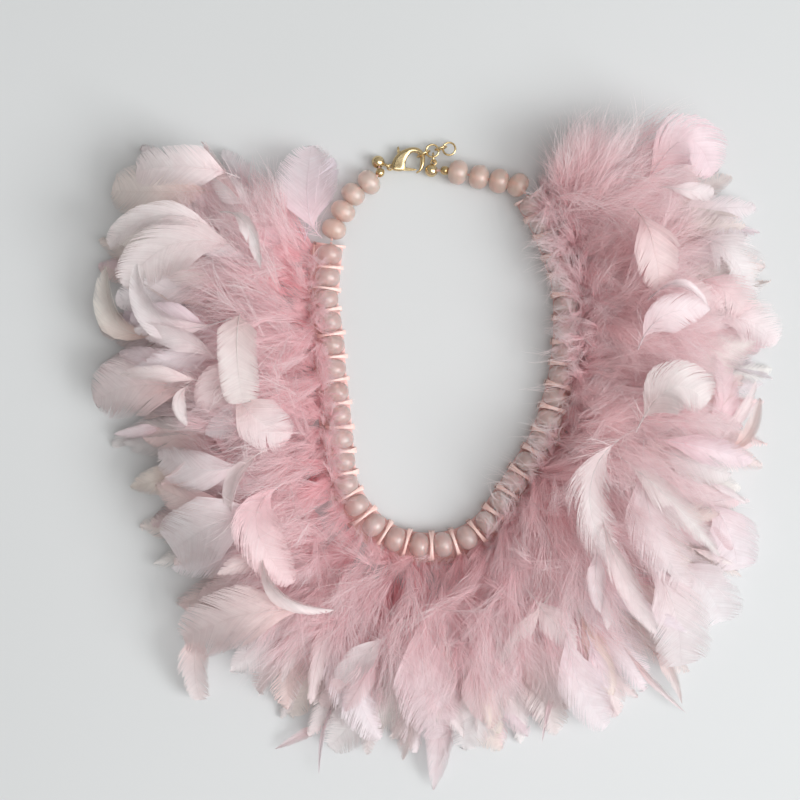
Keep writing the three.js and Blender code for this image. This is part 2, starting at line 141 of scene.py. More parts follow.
def fringe(n, share, z=None):
    """A point of the fringe: share 0 is its inner edge, 1 its outer edge."""
    n = np.atleast_1d(np.asarray(n, float))
    inner = offset(np.clip(n, 4.55, 37.2), 9.0, 0.0)
    outer = np.column_stack([np.interp(n, ROWS[:, 0], ROWS[:, 1]), np.interp(n, ROWS[:, 0], ROWS[:, 2]), np.zeros(len(n))])
    q = inner + (outer - inner) * np.reshape(share, (-1, 1))
    q[:, 2] = 0 if z is None else z
    return q


def section_of(n):
    return "left" if n < 15.4 else ("front" if n < 23.8 else "right")


# ---------------------------------------------------------------- mesh gathering
def make_mesh(name, verts, quads, tint=None, smooth=True):
    """A mesh object, in metres, from vertices in mm."""
    verts = np.asarray(verts, np.float32) * MM
    quads = np.asarray(quads, np.int32)
    me = bpy.data.meshes.new(name)
    k = quads.shape[1]
    me.vertices.add(len(verts))
    me.vertices.foreach_set("co", verts.ravel())
    me.loops.add(quads.size)
    me.loops.foreach_set("vertex_index", quads.ravel())
    me.polygons.add(len(quads))
    me.polygons.foreach_set("loop_start", np.arange(0, quads.size, k, dtype=np.int32))
    me.polygons.foreach_set("use_smooth", np.full(len(quads), smooth))
    me.update(calc_edges=True)
    me.validate()
    if tint is not None:
        a = me.color_attributes.new("tint", "FLOAT_COLOR", "POINT")
        rgba = np.ones((len(verts), 4), np.float32)
        rgba[:, :3] = np.clip(tint, 0, 1)
        a.data.foreach_set("color", rgba.ravel())
    ob = bpy.data.objects.new(name, me)
    scene.collection.objects.link(ob)
    return ob


class Heap:
    """Gathers strips for one family of pieces, and cuts it into objects of a moderate size."""

    LIMIT = 88000

    def __init__(self, name):
        self.name, self.done = name, []
        self.clear()

    def clear(self):
        self.v, self.f, self.c, self.nv, self.nf = [], [], [], 0, 0

    def add(self, v, f, c):
        if self.nf and self.nf + len(f) > self.LIMIT:
            self.flush()
        self.v.append(v)
        self.f.append(f + self.nv)
        self.c.append(c)
        self.nv += len(v)
        self.nf += len(f)

    def flush(self):
        if self.nf:
            self.done.append((np.vstack(self.v), np.vstack(self.f), np.vstack(self.c)))
        self.clear()

    def objects(self, material):
        self.flush()
        out = []
        for i, (v, f, c) in enumerate(self.done):
            v = v.copy()
            low = 0.35 + 0.25 * np.sin(v[:, 0] * 0.9) * np.sin(v[:, 1] * 1.1)
            v[:, 2] = np.where(v[:, 2] < low + 1.5, low + 1.5 * np.exp(np.minimum((v[:, 2] - low - 1.5) / 1.5, 0)), v[:, 2])
            v[:, 2] = np.where(v[:, 2] > 42, 42 + 7 * np.tanh((v[:, 2] - 42) / 7), v[:, 2])
            r = np.maximum(np.abs(v[:, 0]) - 136, 0)
            v[:, 0] = np.sign(v[:, 0]) * np.where(r > 0, 136 + 14 * np.tanh(r / 14), np.abs(v[:, 0]))
            r = np.maximum(np.abs(v[:, 1]) - 134, 0)
            v[:, 1] = np.sign(v[:, 1]) * np.where(r > 0, 134 + 13 * np.tanh(r / 13), np.abs(v[:, 1]))
            ob = make_mesh(f"{self.name}_{i + 1}", v, f, c)
            ob.data.materials.append(material)
            out.append(ob)
        return out


def strip_faces(k, u):
    base = (np.arange(k)[:, None] * u + np.arange(u - 1)[None, :]).ravel() * 2
    return np.column_stack([base, base + 1, base + 3, base + 2])


def unit(v):
    return v / np.maximum(np.linalg.norm(v, axis=-1, keepdims=True), 1e-9)


UP = np.array([0.0, 0.0, 1.0])


# ---------------------------------------------------------------- feathers
def curve(P, n=40):
    """Points, tangents and arc shares of a Bezier curve through three or four control points."""
    P = np.asarray(P, float)
    t = np.linspace(0, 1, n)[:, None]
    if len(P) == 3:
        c = (1 - t) ** 2 * P[0] + 2 * t * (1 - t) * P[1] + t ** 2 * P[2]
    else:
        c = (1 - t) ** 3 * P[0] + 3 * t * (1 - t) ** 2 * P[1] + 3 * t * t * (1 - t) * P[2] + t ** 3 * P[3]
    seg = np.linalg.norm(np.diff(c, axis=0), axis=1)
    s = np.concatenate([[0], np.cumsum(seg)])
    tan = unit(np.gradient(c, axis=0))
    return c, tan, s / s[-1], s[-1]


def at(table, grid, s):
    return np.stack([np.interp(s, grid, table[:, i]) for i in range(3)], axis=-1)


def filaments(heap, p0, d0, length, width, c0, c1, bend=None, wave=0.22, steps=6, face_up=0.55):
    """Fine down barbs: tapered ribbons that start at p0 along d0."""
    n = len(p0)
    t = np.linspace(0, 1, steps + 1)
    d0 = unit(d0)
    side = unit(np.cross(d0, unit(rng.normal(size=(n, 3)))))
    other = np.cross(d0, side)
    tm = (t[:-1] + t[1:]) / 2
    ph = rng.uniform(0, 2 * np.pi, (n, 2))
    fr = rng.uniform(0.35, 1.0, (n, 2)) * 2 * np.pi
    a1 = wave * np.sin(ph[:, :1] + fr[:, :1] * tm) * (0.3 + tm)
    a2 = wave * np.sin(ph[:, 1:] + fr[:, 1:] * tm) * (0.3 + tm)
    dirs = d0[:, None, :] + a1[..., None] * side[:, None, :] + a2[..., None] * other[:, None, :]
    if bend is not None:
        dirs = dirs + bend[:, None, :] * (tm ** 1.3)[None, :, None]
    dirs = unit(dirs)
    L = np.reshape(length, (-1, 1, 1)) / steps
    pts = np.concatenate([p0[:, None, :], p0[:, None, :] + np.cumsum(dirs * L, axis=1)], axis=1)
    dd = np.concatenate([dirs[:, :1], dirs], axis=1)
    r = unit(UP * face_up * 2 + rng.normal(size=(n, 3)) * (1 - face_up))[:, None, :]
    wv = unit(np.cross(dd, r))
    w = np.reshape(width, (-1, 1)) * (1 - 0.82 * t[None, :] ** 1.6) / 2
    verts = np.stack([pts - wv * w[..., None], pts + wv * w[..., None]], axis=2)
    col = c0[:, None, :] + (c1 - c0)[:, None, :] * (t[None, :, None] ** 0.8)
    col = col * (1 + 0.05 * rng.normal(size=(n, 1, 1)))
    heap.add(verts.reshape(-1, 3), strip_faces(n, steps + 1), np.repeat(col[:, :, None, :], 2, axis=2).reshape(-1, 3))


# the deep pink of the down's roots, deepened further as painted shade for the crevices of the undercoat
PINK_DEEP_AND_SHADE = np.array([0.95, 0.56, 0.60])
PINK = np.array([0.97, 0.73, 0.76])
PINK_PALE = np.array([0.97, 0.845, 0.855])
WHITE = np.array([0.96, 0.92, 0.925])
GREY = np.array([0.89, 0.82, 0.81])
PEACH = np.array([0.96, 0.79, 0.77])
HAIR = np.array([0.97, 0.92, 0.93])
SILK = np.array([0.985, 0.955, 0.96])
BLUSH = np.array([0.97, 0.66, 0.695])
# a red lift for the right arm's down: painted light against the shade on that side
RED_PAINTED_LIGHT = np.array([0.03, 0.0, 0.0])
TONES = {"w": (PINK_PALE * 0.975, WHITE * 0.97), "g": (np.array([0.93, 0.73, 0.70]), GREY), "p": (PINK, PINK_PALE * 0.97),
         "b": (PEACH, np.array([0.94, 0.87, 0.865])), "m": (PINK, np.array([0.93, 0.84, 0.87]))}


def petal(heap, P, half, roll=0.0, twist=0.0, cup=0.5, p=4.0, q=1.8, s0=0.16, sweep=0.44, tone="w",
          pitch=0.40, open_edge=0.80, splits=4, shag=0.03, fluff=34, shade=1.0, side_bias=0.0, soft=0.15, full_at=0.50):
    """A vaned feather: a tapering shaft, two vanes of separate barbs that sweep forward, and a downy foot.
    P: control points of the shaft, half: half the vane's width, roll and twist turn it about the shaft, cup curls it across."""
    c, tan, grid, length = curve(P)
    upish = np.where(np.abs(tan[:, 2:3]) > 0.93, np.array([[1.0, 0, 0]]), UP)
    b = unit(np.cross(tan, upish))
    nn = np.cross(b, tan)
    # shade scales both tones: random tone, and painted shade for the lowest petals on the left
    c0, c1 = (np.array(x) * shade for x in TONES[tone])
    lean = rng.normal(size=3) * 0.012
    c0, c1 = c0 + lean, c1 + lean
    k = max(int(length * (1 - s0) / pitch), 20)
    U = np.array([0.0, 0.14, 0.34, 0.58, 0.8, 1.0])
    sk = s0 + (1 - s0) * (np.arange(k) + 0.5) / k
    ds = (1 - s0) / k
    body = lambda s: np.sin(np.pi / 2 * np.clip((s - s0 * 0.6) / (full_at - s0 * 0.6), 0.0, 1)) ** 0.75 * np.clip(1 - np.clip(s, 0, 1) ** p, 0, 1) ** (1 / q)
    for sgn in (-1, 1):
        # barbs hold together in groups, which part near the vane's edge
        cuts = np.sort(rng.uniform(0.05, 1, splits)) if splits else np.array([])
        group = np.searchsorted(cuts, (sk - s0) / (1 - s0))
        ng = splits + 1
        dev = rng.normal(size=ng) * 0.020
        lift = rng.normal(size=ng) * (0.05 + 0.09 * soft)
        fray = shag * (1 + 1.6 * soft)
        reach = np.clip(1 - np.abs(rng.normal(size=ng))[group] * fray * 0.8 - np.abs(rng.normal(size=k)) * fray * 0.7, 0.3, 1.0)
        u = U[None, :] * reach[:, None]
        s = sk[:, None] + (1 - sk[:, None]) ** 0.85 * sweep * u ** 0.92 + (dev[group] + rng.normal(size=k) * (0.004 + 0.014 * soft))[:, None] * np.clip(u - 0.2, 0, 1) ** 1.3
        width = half * (1 + side_bias * sgn) * body(np.clip(s, 0, 1))
        cov = np.interp(u, [0, 0.5, 0.85, 1.0], [1.25 - 0.15 * soft, 1.12 - 0.40 * soft, open_edge * (1 - 0.42 * soft), open_edge * (0.45 - 0.2 * soft)])
        twirl = rng.normal(size=k) * (0.012 + 0.05 * soft)
        edges = []
        for e in (-1, 1):
            se = np.clip(s + e * ds * 0.5 * cov, 0, 1)
            R, T, B, N = at(c, grid, se), at(tan, grid, se), at(b, grid, se), at(nn, grid, se)
            ang = roll + twist * se
            ca, sa = np.cos(ang)[..., None], np.sin(ang)[..., None]
            Br, Nr = B * ca - N * sa, N * ca + B * sa
            cc = max(abs(cup), 1e-3)
            across = np.sin(cc * u) / cc * width * sgn
            rise = np.sign(cup) * (1 - np.cos(cc * u)) / cc * width
            rise = rise + (lift[group][:, None] * np.clip(u - 0.2, 0, 1) ** 1.5) * half + twirl[:, None] * u * half * 0.4
            rise = rise - e * 0.022 * (0.4 + u)
            edges.append(R + Br * across[..., None] + Nr * rise[..., None])
        verts = np.stack(edges, axis=2)
        mix = np.clip((s - 0.12) / 0.6 + 0.12 * u, 0, 1)[..., None]
        col = c0 + (c1 - c0) * mix
        col = col * (1 + 0.022 * rng.normal(size=(k, 1, 1)) + 0.02 * rng.normal(size=ng)[group][:, None, None])
        heap.add(verts.reshape(-1, 3), strip_faces(k, len(U)), np.repeat(col[:, :, None, :], 2, axis=2).reshape(-1, 3))
    # shaft
    ss = np.linspace(0, 0.96, 14)
    R, T, B = at(c, grid, ss), at(tan, grid, ss), at(b, grid, ss)
    N = np.cross(B, T)
    rad = (0.34 * (1 - ss) ** 0.7 + 0.05) * min(1.0, length / 45 + 0.3)
    ring = np.stack([R + (B * math.cos(a) + N * math.sin(a)) * rad[:, None] for a in (math.pi / 2, math.pi * 7 / 6, -math.pi / 6)], axis=1)
    m = len(ss)
    f = [[i * 3 + j, i * 3 + (j + 1) % 3, (i + 1) * 3 + (j + 1) % 3, (i + 1) * 3 + j] for i in range(m - 1) for j in range(3)]
    heap.add(ring.reshape(-1, 3), np.array(f), np.tile((c1 * 1.03)[None, :], (m * 3, 1)))
    # downy foot
    if fluff:
        s = rng.uniform(0.0, s0 + 0.22, fluff)
        R, T, B = at(c, grid, s), at(tan, grid, s), at(b, grid, s)
        N = np.cross(B, T)
        th = rng.uniform(0, 2 * np.pi, fluff)
        S = B * np.cos(th)[:, None] + N * (0.6 * np.sin(th))[:, None]
        al = rng.uniform(0.5, 1.1, fluff)[:, None]
        filaments(heap, R, T * np.cos(al) + S * np.sin(al), rng.uniform(0.7, 1.35, fluff) * half * 1.1, rng.uniform(0.12, 0.24, fluff),
                  np.tile(c0, (fluff, 1)), np.tile((c0 + c1) / 2 + 0.03, (fluff, 1)), bend=T * 0.5, wave=0.3, steps=5)


# where the first bead at each end of the back strand passes as the strand lifts: no down is left in its way
LIFTING = np.array([[-41.8, 88.8, 6.0], [-41.77, 88.69, 7.22], [-41.67, 88.28, 8.36], [-41.51, 87.59, 9.36],
                    [31.8, 106.4, 6.0], [31.83, 106.29, 7.17], [31.92, 105.9, 8.27], [32.08, 105.24, 9.23]])


def lock(heap, base, az, elev, length, count, c0, c1, width=(0.09, 0.17), root=1.3, splay=0.16, droop=1.5, curl=0.0, wave=0.08, steps=6, flat=0.7, floor=1.0):
    """A lock of silky down: long fine filaments that leave a short shaft and flow the same way, parting a little towards their tips."""
    m = 26
    s = np.linspace(0, 1, m)
    el = elev * (1 - droop * s)
    a = az + curl * s
    d = np.column_stack([np.cos(a) * np.cos(el), np.sin(a) * np.cos(el), np.sin(el)])
    c = base + np.vstack([[0, 0, 0], np.cumsum(d[:-1] * length / (m - 1), axis=0)])
    c[:, 2] = floor + np.logaddexp(0, (c[:, 2] - floor) / 1.5) * 1.5
    b = unit(np.cross(d, UP))
    n = np.cross(b, d)
    start = rng.uniform(0, 1, count) ** 1.6 * 0.5
    reach = np.clip(rng.normal(0.86, 0.12, count), 0.35, 1.08) * (1 - start * 0.55)
    t = np.linspace(0, 1, steps + 1)[None, :]
    sp = np.clip(start[:, None] + t * (reach - start)[:, None], 0, 1)
    C, B, N = at(c, s, sp), at(b, s, sp), at(n, s, sp)
    tufts = rng.integers(0, max(count // 11, 1), count)
    th = rng.uniform(0, 2 * np.pi, tufts.max() + 1)[tufts] + rng.normal(size=count) * 0.35
    amp = np.sqrt(rng.uniform(0.0, 1, tufts.max() + 1))[tufts] * (1 + 0.16 * rng.normal(size=count))
    own = rng.uniform(0, 2 * np.pi, count)
    open_ = root * (0.35 + 0.65 * rng.uniform(0, 1, count)[:, None]) * (1 - 0.4 * t) + splay * length * amp[:, None] * (t * (1.25 - 0.5 * t))
    x = np.cos(th)[:, None] * open_
    y = np.sin(th)[:, None] * open_ * flat
    ph = rng.uniform(0, 2 * np.pi, (count, 2))
    fr = rng.uniform(1.5, 4.5, (count, 2))
    x = x + wave * length * t * np.sin(ph[:, :1] + fr[:, :1] * t) + 0.3 * np.cos(own)[:, None] * t
    y = y + wave * length * t * np.sin(ph[:, 1:] + fr[:, 1:] * t) + 0.3 * np.sin(own)[:, None] * t
    pts = C + B * x[..., None] + N * y[..., None]
    dd = unit(np.gradient(pts, axis=1))
    r = unit(UP * 1.2 + rng.normal(size=(count, 3)) * 0.5)[:, None, :]
    wv = unit(np.cross(dd, r))
    w = rng.uniform(*width, count)[:, None] * (1 - 0.85 * t ** 1.4) / 2
    verts = np.stack([pts - wv * w[..., None], pts + wv * w[..., None]], axis=2)
    tone = (1 + 0.045 * rng.normal(size=(tufts.max() + 1, 1))[tufts])[:, None, :]
    k = (0.15 * sp + 0.85 * t ** 0.9)[..., None]
    col = (c0 + (c1 - c0) * k) * tone
    clear = np.min([np.linalg.norm(pts - q, axis=-1).min(axis=1) for q in LIFTING], axis=0) > 5.7
    if clear.any():
        heap.add(verts[clear].reshape(-1, 3), strip_faces(int(clear.sum()), steps + 1), np.repeat(col[clear][:, :, None, :], 2, axis=2).reshape(-1, 3))


petals = {k: Heap("petals_" + k) for k in ("left", "front", "right")}
down = {k: Heap("down_" + k) for k in ("left", "front", "right")}


def outdir(n):
    a, b = fringe(n, 0.0)[0], fringe(n, 1.0)[0]
    d = b - a
    return math.atan2(d[1], d[0]), float(np.hypot(d[0], d[1]))


def scatter_petals(count, f_base, length, half, z0, elev, spread, tones, seed_shift=0.0, fmax=1.0, n_range=(4.9, 35.2), droop=(0.8, 1.7), fluff=26):
    """Petals all round, with their feet at a share f_base of the way out, the tips kept inside the outline."""
    # spread evenly along the outline's arc, not along the strand
    grid = np.linspace(n_range[0], n_range[1], 400)
    mid = fringe(grid, 0.6)
    arc = np.concatenate([[0], np.cumsum(np.linalg.norm(np.diff(mid, axis=0), axis=1))])
    for i in range(count):
        n = float(np.interp((i + rng.uniform(0, 1)) / count * arc[-1], arc, grid))
        az, reach = outdir(n)
        f = rng.uniform(*f_base)
        base = fringe(n, f)[0]
        base[2] = rng.uniform(*z0)
        L = rng.uniform(*length)
        az = az + rng.normal() * spread
        left = reach * (fmax * (0.9 if 15.8 < n < 23.4 else (0.8 if n < 5.5 else 1.0)) - f)
        L = min(L, max(left, 22.0))
        el = rng.uniform(*elev)
        dr = rng.uniform(*droop)
        side = rng.normal() * 0.16 * L
        d = np.array([math.cos(az), math.sin(az), 0.0])
        sd = np.array([-d[1], d[0], 0.0])
        P = [base,
             base + d * L * 0.36 * math.cos(el) + UP * L * 0.36 * math.sin(el),
             base + d * L * 0.74 + UP * L * (0.66 * math.sin(el) * (1 - 0.35 * dr)) + sd * side * 0.5,
             base + d * L + UP * L * math.sin(el) * (1 - 0.75 * dr) + sd * side]
        # the lowest petals on the left are painted a tenth darker: painted shade for the crevices between them; the
        # rest of this factor is random tone
        petal(petals[section_of(n)], P, rng.uniform(*half), roll=rng.normal() * 0.35, twist=rng.normal() * 0.35,
              cup=rng.choice([-1, 1], p=[0.35, 0.65]) * rng.uniform(0.15, 0.65), p=rng.uniform(2.2, 5), q=rng.uniform(1.2, 2.2),
              tone=tones[rng.integers(len(tones))], splits=int(rng.integers(4, 10)), shag=rng.uniform(0.03, 0.09), fluff=fluff,
              shade=rng.uniform(0.95, 1.0) * (0.90 if n < 15.4 and z0[0] < 4 else 1.0), side_bias=rng.normal() * 0.12, soft=rng.uniform(0.1, 0.7) if n < 15.4 else rng.uniform(0.35, 1.0))


FLOW = rng.uniform(0, 2 * np.pi, 6)


def flow(n):
    """How far the down's lie departs from straight outwards: it swings slowly along the collar."""
    return 0.20 * math.sin(n * 1.3 + FLOW[0]) + 0.17 * math.sin(n * 2.9 + FLOW[1]) + 0.12 * math.sin(n * 6.1 + FLOW[2])


def spots(count, n_range, share):
    grid = np.linspace(n_range[0], n_range[1], 400)
    mid = fringe(grid, share)
    arc = np.concatenate([[0], np.cumsum(np.linalg.norm(np.diff(mid, axis=0), axis=1))])
    return np.interp((np.arange(count) + rng.uniform(0, 1, count)) / count * arc[-1], arc, grid)


def scatter_locks(count, f_base, length, elev, per, spread, c0, c1, z0=(2, 8), n_range=(4.8, 37.1), share=0.3, droop=(1.0, 1.9), fmax=1.0, **more):
    for n in spots(count, n_range, share):
        az, reach = outdir(n)
        f = rng.uniform(*f_base)
        base = fringe(n, f)[0]
        base[2] = rng.uniform(*z0)
        far = fmax * float(np.interp(n, [4.5, 15, 17, 23, 25, 36], [0.80, 0.78, 0.84, 0.84, 0.84, 0.86]))
        L = min(rng.uniform(*length), max(reach * (far - f), 9.0))
        # towards the right arm the down is painted lighter and redder: painted light against the shade that the window
        # leaves on that side
        right_painted_light = 0.6 * float(np.clip((n - 22.0) / 5.0, 0, 1))
        ca, cb = c0 + (PINK_PALE - c0) * right_painted_light * 0.8 + RED_PAINTED_LIGHT * right_painted_light, c1 + RED_PAINTED_LIGHT * right_painted_light
        lock(down[section_of(n)], base, az + flow(n) + rng.normal() * spread, rng.uniform(*elev), L, per,
             ca * rng.uniform(0.95, 1.02), cb * rng.uniform(0.98, 1.01), curl=rng.normal() * 0.5, droop=rng.uniform(*droop), **more)


def fluff(n_range, count, off, z, turn, elev, length, per, c0, c1, **more):
    """Small locks along the strand: turn is the lie away from straight outwards, in radians."""
    for n in spots(count, n_range, 0.0):
        az, _ = outdir(n)
        base = offset(n, rng.uniform(*off), rng.uniform(*z))[0]
        lock(down[section_of(n)], base, az + rng.uniform(*turn), rng.uniform(*elev), rng.uniform(*length), per, c0, c1, curl=rng.normal() * 0.5, **more)


full = 1.0
num = lambda x: max(int(x * full), 4)
# undercoat and lowest petals
scatter_petals(num(100), (0.12, 0.52), (42, 64), (6.5, 11.5), (1.5, 5), (0.05, 0.3), 0.28, "gwpb", fmax=1.0)
# the undercoat's roots take the deepest pink: partly their own colour, partly painted shade in the crevices
scatter_locks(num(110), (-0.04, 0.40), (36, 58), (0.1, 0.5), 100, 0.3, PINK_DEEP_AND_SHADE, PINK, z0=(1.5, 5), width=(0.2, 0.36), splay=0.28, root=2.5, fmax=0.85, steps=5)
scatter_petals(num(76), (0.18, 0.5), (38, 56), (6, 10), (6, 12), (0.25, 0.6), 0.34, "gwpw", fmax=0.9)
# the body of the down
scatter_locks(num(150), (-0.05, 0.34), (34, 56), (0.3, 0.75), 140, 0.30, (PINK_DEEP_AND_SHADE + PINK) / 2, PINK_PALE, z0=(3, 9), splay=0.24, root=2.2, fmax=0.92)
scatter_petals(num(34), (0.12, 0.4), (30, 46), (5.5, 9), (12, 20), (0.35, 0.8), 0.45, "wpw", fmax=0.8)
scatter_locks(num(190), (-0.04, 0.28), (24, 44), (0.5, 1.0), 130, 0.42, PINK, HAIR, z0=(4, 11), splay=0.26, root=2.0, fmax=0.9, width=(0.075, 0.14), wave=0.075)
scatter_locks(num(80), (0.25, 0.5), (24, 40), (0.3, 0.8), 90, 0.45, PINK, HAIR, z0=(10, 20), splay=0.26, root=1.5)
# the right arm's down stands higher, close against its beads; scatter_locks paints it lighter and redder there, as
# painted light
scatter_locks(num(110), (-0.05, 0.16), (22, 40), (0.8, 1.35), 100, 0.45, BLUSH, PINK_PALE, z0=(6, 14), n_range=(24.0, 37.0), splay=0.28, root=2.0, fmax=1.0, width=(0.09, 0.17), wave=0.08, share=0.1)
# a loose veil of pale curled filaments, and long wisps over the vanes
scatter_locks(num(90), (0.0, 0.40), (14, 30), (0.6, 1.3), 40, 0.9, PINK, HAIR, z0=(14, 24), splay=0.5, root=2.6, wave=0.12, fmax=0.9, width=(0.08, 0.15))
scatter_locks(num(150), (0.0, 0.36), (18, 38), (0.4, 1.2), 20, 0.6, PINK, HAIR, z0=(12, 23), splay=0.34, root=2.2, wave=0.07, fmax=0.95, width=(0.12, 0.22))
scatter_locks(num(34), (0.04, 0.26), (26, 44), (0.3, 0.8), 50, 0.4, PINK, HAIR, z0=(16, 25), n_range=(4.9, 15.4), splay=0.28, root=2.2, wave=0.08, fmax=0.74, width=(0.08, 0.15))
scatter_locks(num(44), (0.08, 0.36), (28, 48), (0.2, 0.7), 50, 0.4, PINK, HAIR, z0=(14, 24), n_range=(15.4, 23.5), splay=0.28, root=2.2, wave=0.08, fmax=0.86, width=(0.08, 0.15))
scatter_locks(num(76), (0.06, 0.42), (28, 50), (0.2, 0.7), 50, 0.4, PINK, HAIR, z0=(18, 28), n_range=(23.5, 36.6), splay=0.28, root=2.4, wave=0.08, fmax=0.98, width=(0.08, 0.15))
# close the parting where the lower right bends up
fluff((20.5, 26.0), num(46), (6.0, 18.0), (2.0, 7.0), (-0.7, 0.7), (0.35, 0.95), (18, 32), 90, BLUSH, PINK_PALE, splay=0.3, root=2.4)
# pale fans that rise between the right beads and the down behind them
fluff((27.5, 37.0), num(100), (5.5, 15.0), (4.0, 12.0), (-1.1, 1.1), (0.9, 1.45), (13, 24), 34, PINK, HAIR, splay=0.42, root=1.8, droop=0.9, width=(0.12, 0.22))
# short fluff over the ribbon's outer edge, close against the beads
fluff((4.85, 37.05), num(180), (4.6, 8.5), (1.8, 5.0), (-0.9, 0.9), (0.6, 1.3), (9, 18), 56, BLUSH, PINK_PALE, splay=0.36, root=1.4, droop=1.3)
fluff((4.85, 37.05), num(100), (4.4, 6.4), (1.8, 5.5), (-1.9, 1.9), (0.5, 1.2), (4, 8), 30, PINK, HAIR, splay=0.6, root=1.2, droop=1.2, wave=0.12, steps=5)
# silvery hair over the upper right beads, thinner further down, and pink fluff over the outer side of the left ones
fluff((29.5, 37.2), num(60), (2.5, 7.0), (7.0, 12.0), (1.4, 4.6), (0.4, 1.1), (9, 21), 15, PINK, SILK, splay=0.62, root=1.2, droop=1.2, wave=0.08, width=(0.10, 0.19))
fluff((28.6, 37.1), num(90), (5.5, 13.0), (9.0, 17.0), (-0.6, 6.0), (0.3, 1.1), (10, 20), 26, BLUSH, HAIR, splay=0.50, root=1.6, droop=1.2, wave=0.08, width=(0.09, 0.18))
fluff((33.0, 37.2), num(40), (-1.0, 6.0), (8.0, 12.5), (0.5, 5.7), (0.3, 1.1), (8, 17), 14, PINK, SILK, splay=0.66, root=1.2, droop=1.1, wave=0.08, width=(0.10, 0.19))
fluff((29.0, 37.2), num(60), (2.5, 8.0), (5.0, 10.0), (1.0, 5.2), (0.3, 1.0), (6, 12), 30, BLUSH, PINK_PALE, splay=0.6, root=1.2, droop=1.2, width=(0.09, 0.16))
fluff((21.5, 37.0), num(80), (3.0, 7.5), (8.0, 12.0), (2.2, 4.0), (0.2, 0.7), (10, 23), 7, PINK_PALE, SILK, splay=0.62, root=1.0, droop=1.3, width=(0.12, 0.2))
fluff((4.9, 15.5), num(70), (3.0, 7.5), (6.5, 10.0), (1.2, 5.0), (0.4, 1.0), (5, 10), 22, PINK, HAIR, splay=0.55, root=1.2, droop=1.1, width=(0.10, 0.18))
fluff((7.0, 15.0), num(80), (2.5, 6.5), (7.5, 11.0), (1.6, 4.7), (0.3, 0.9), (6, 12), 22, BLUSH, HAIR, splay=0.6, root=1.2, droop=1.1, width=(0.09, 0.17))
fluff((21.5, 26.5), num(34), (3.5, 9.0), (7.0, 11.5), (-0.5, 3.8), (0.3, 1.0), (9, 19), 20, PINK, SILK, splay=0.6, root=1.2, droop=1.1, width=(0.09, 0.18))
# fine white hair round the upper ends
fluff((4.9, 5.8), num(26), (22.0, 56.0), (8.0, 17.0), (-0.3, 0.9), (0.4, 1.1), (15, 29), 16, PINK_PALE, SILK, splay=0.42, root=2.2, width=(0.12, 0.22))
fluff((4.5, 5.4), num(26), (24.0, 58.0), (4.0, 16.0), (-0.3, 0.9), (0.2, 0.8), (16, 30), 50, PINK_PALE, HAIR, splay=0.36, root=2.4, width=(0.10, 0.18))
fluff((35.2, 37.4), num(64), (6.0, 44.0), (4.0, 22.0), (-1.3, 0.3), (0.3, 0.9), (18, 34), 60, PINK, HAIR, splay=0.36, root=2.4, width=(0.10, 0.18))
fluff((35.6, 37.4), num(50), (4.0, 40.0), (10.0, 22.0), (-1.4, 0.5), (0.4, 1.1), (16, 32), 15, PINK_PALE, SILK, splay=0.42, root=2.2, width=(0.14, 0.24))


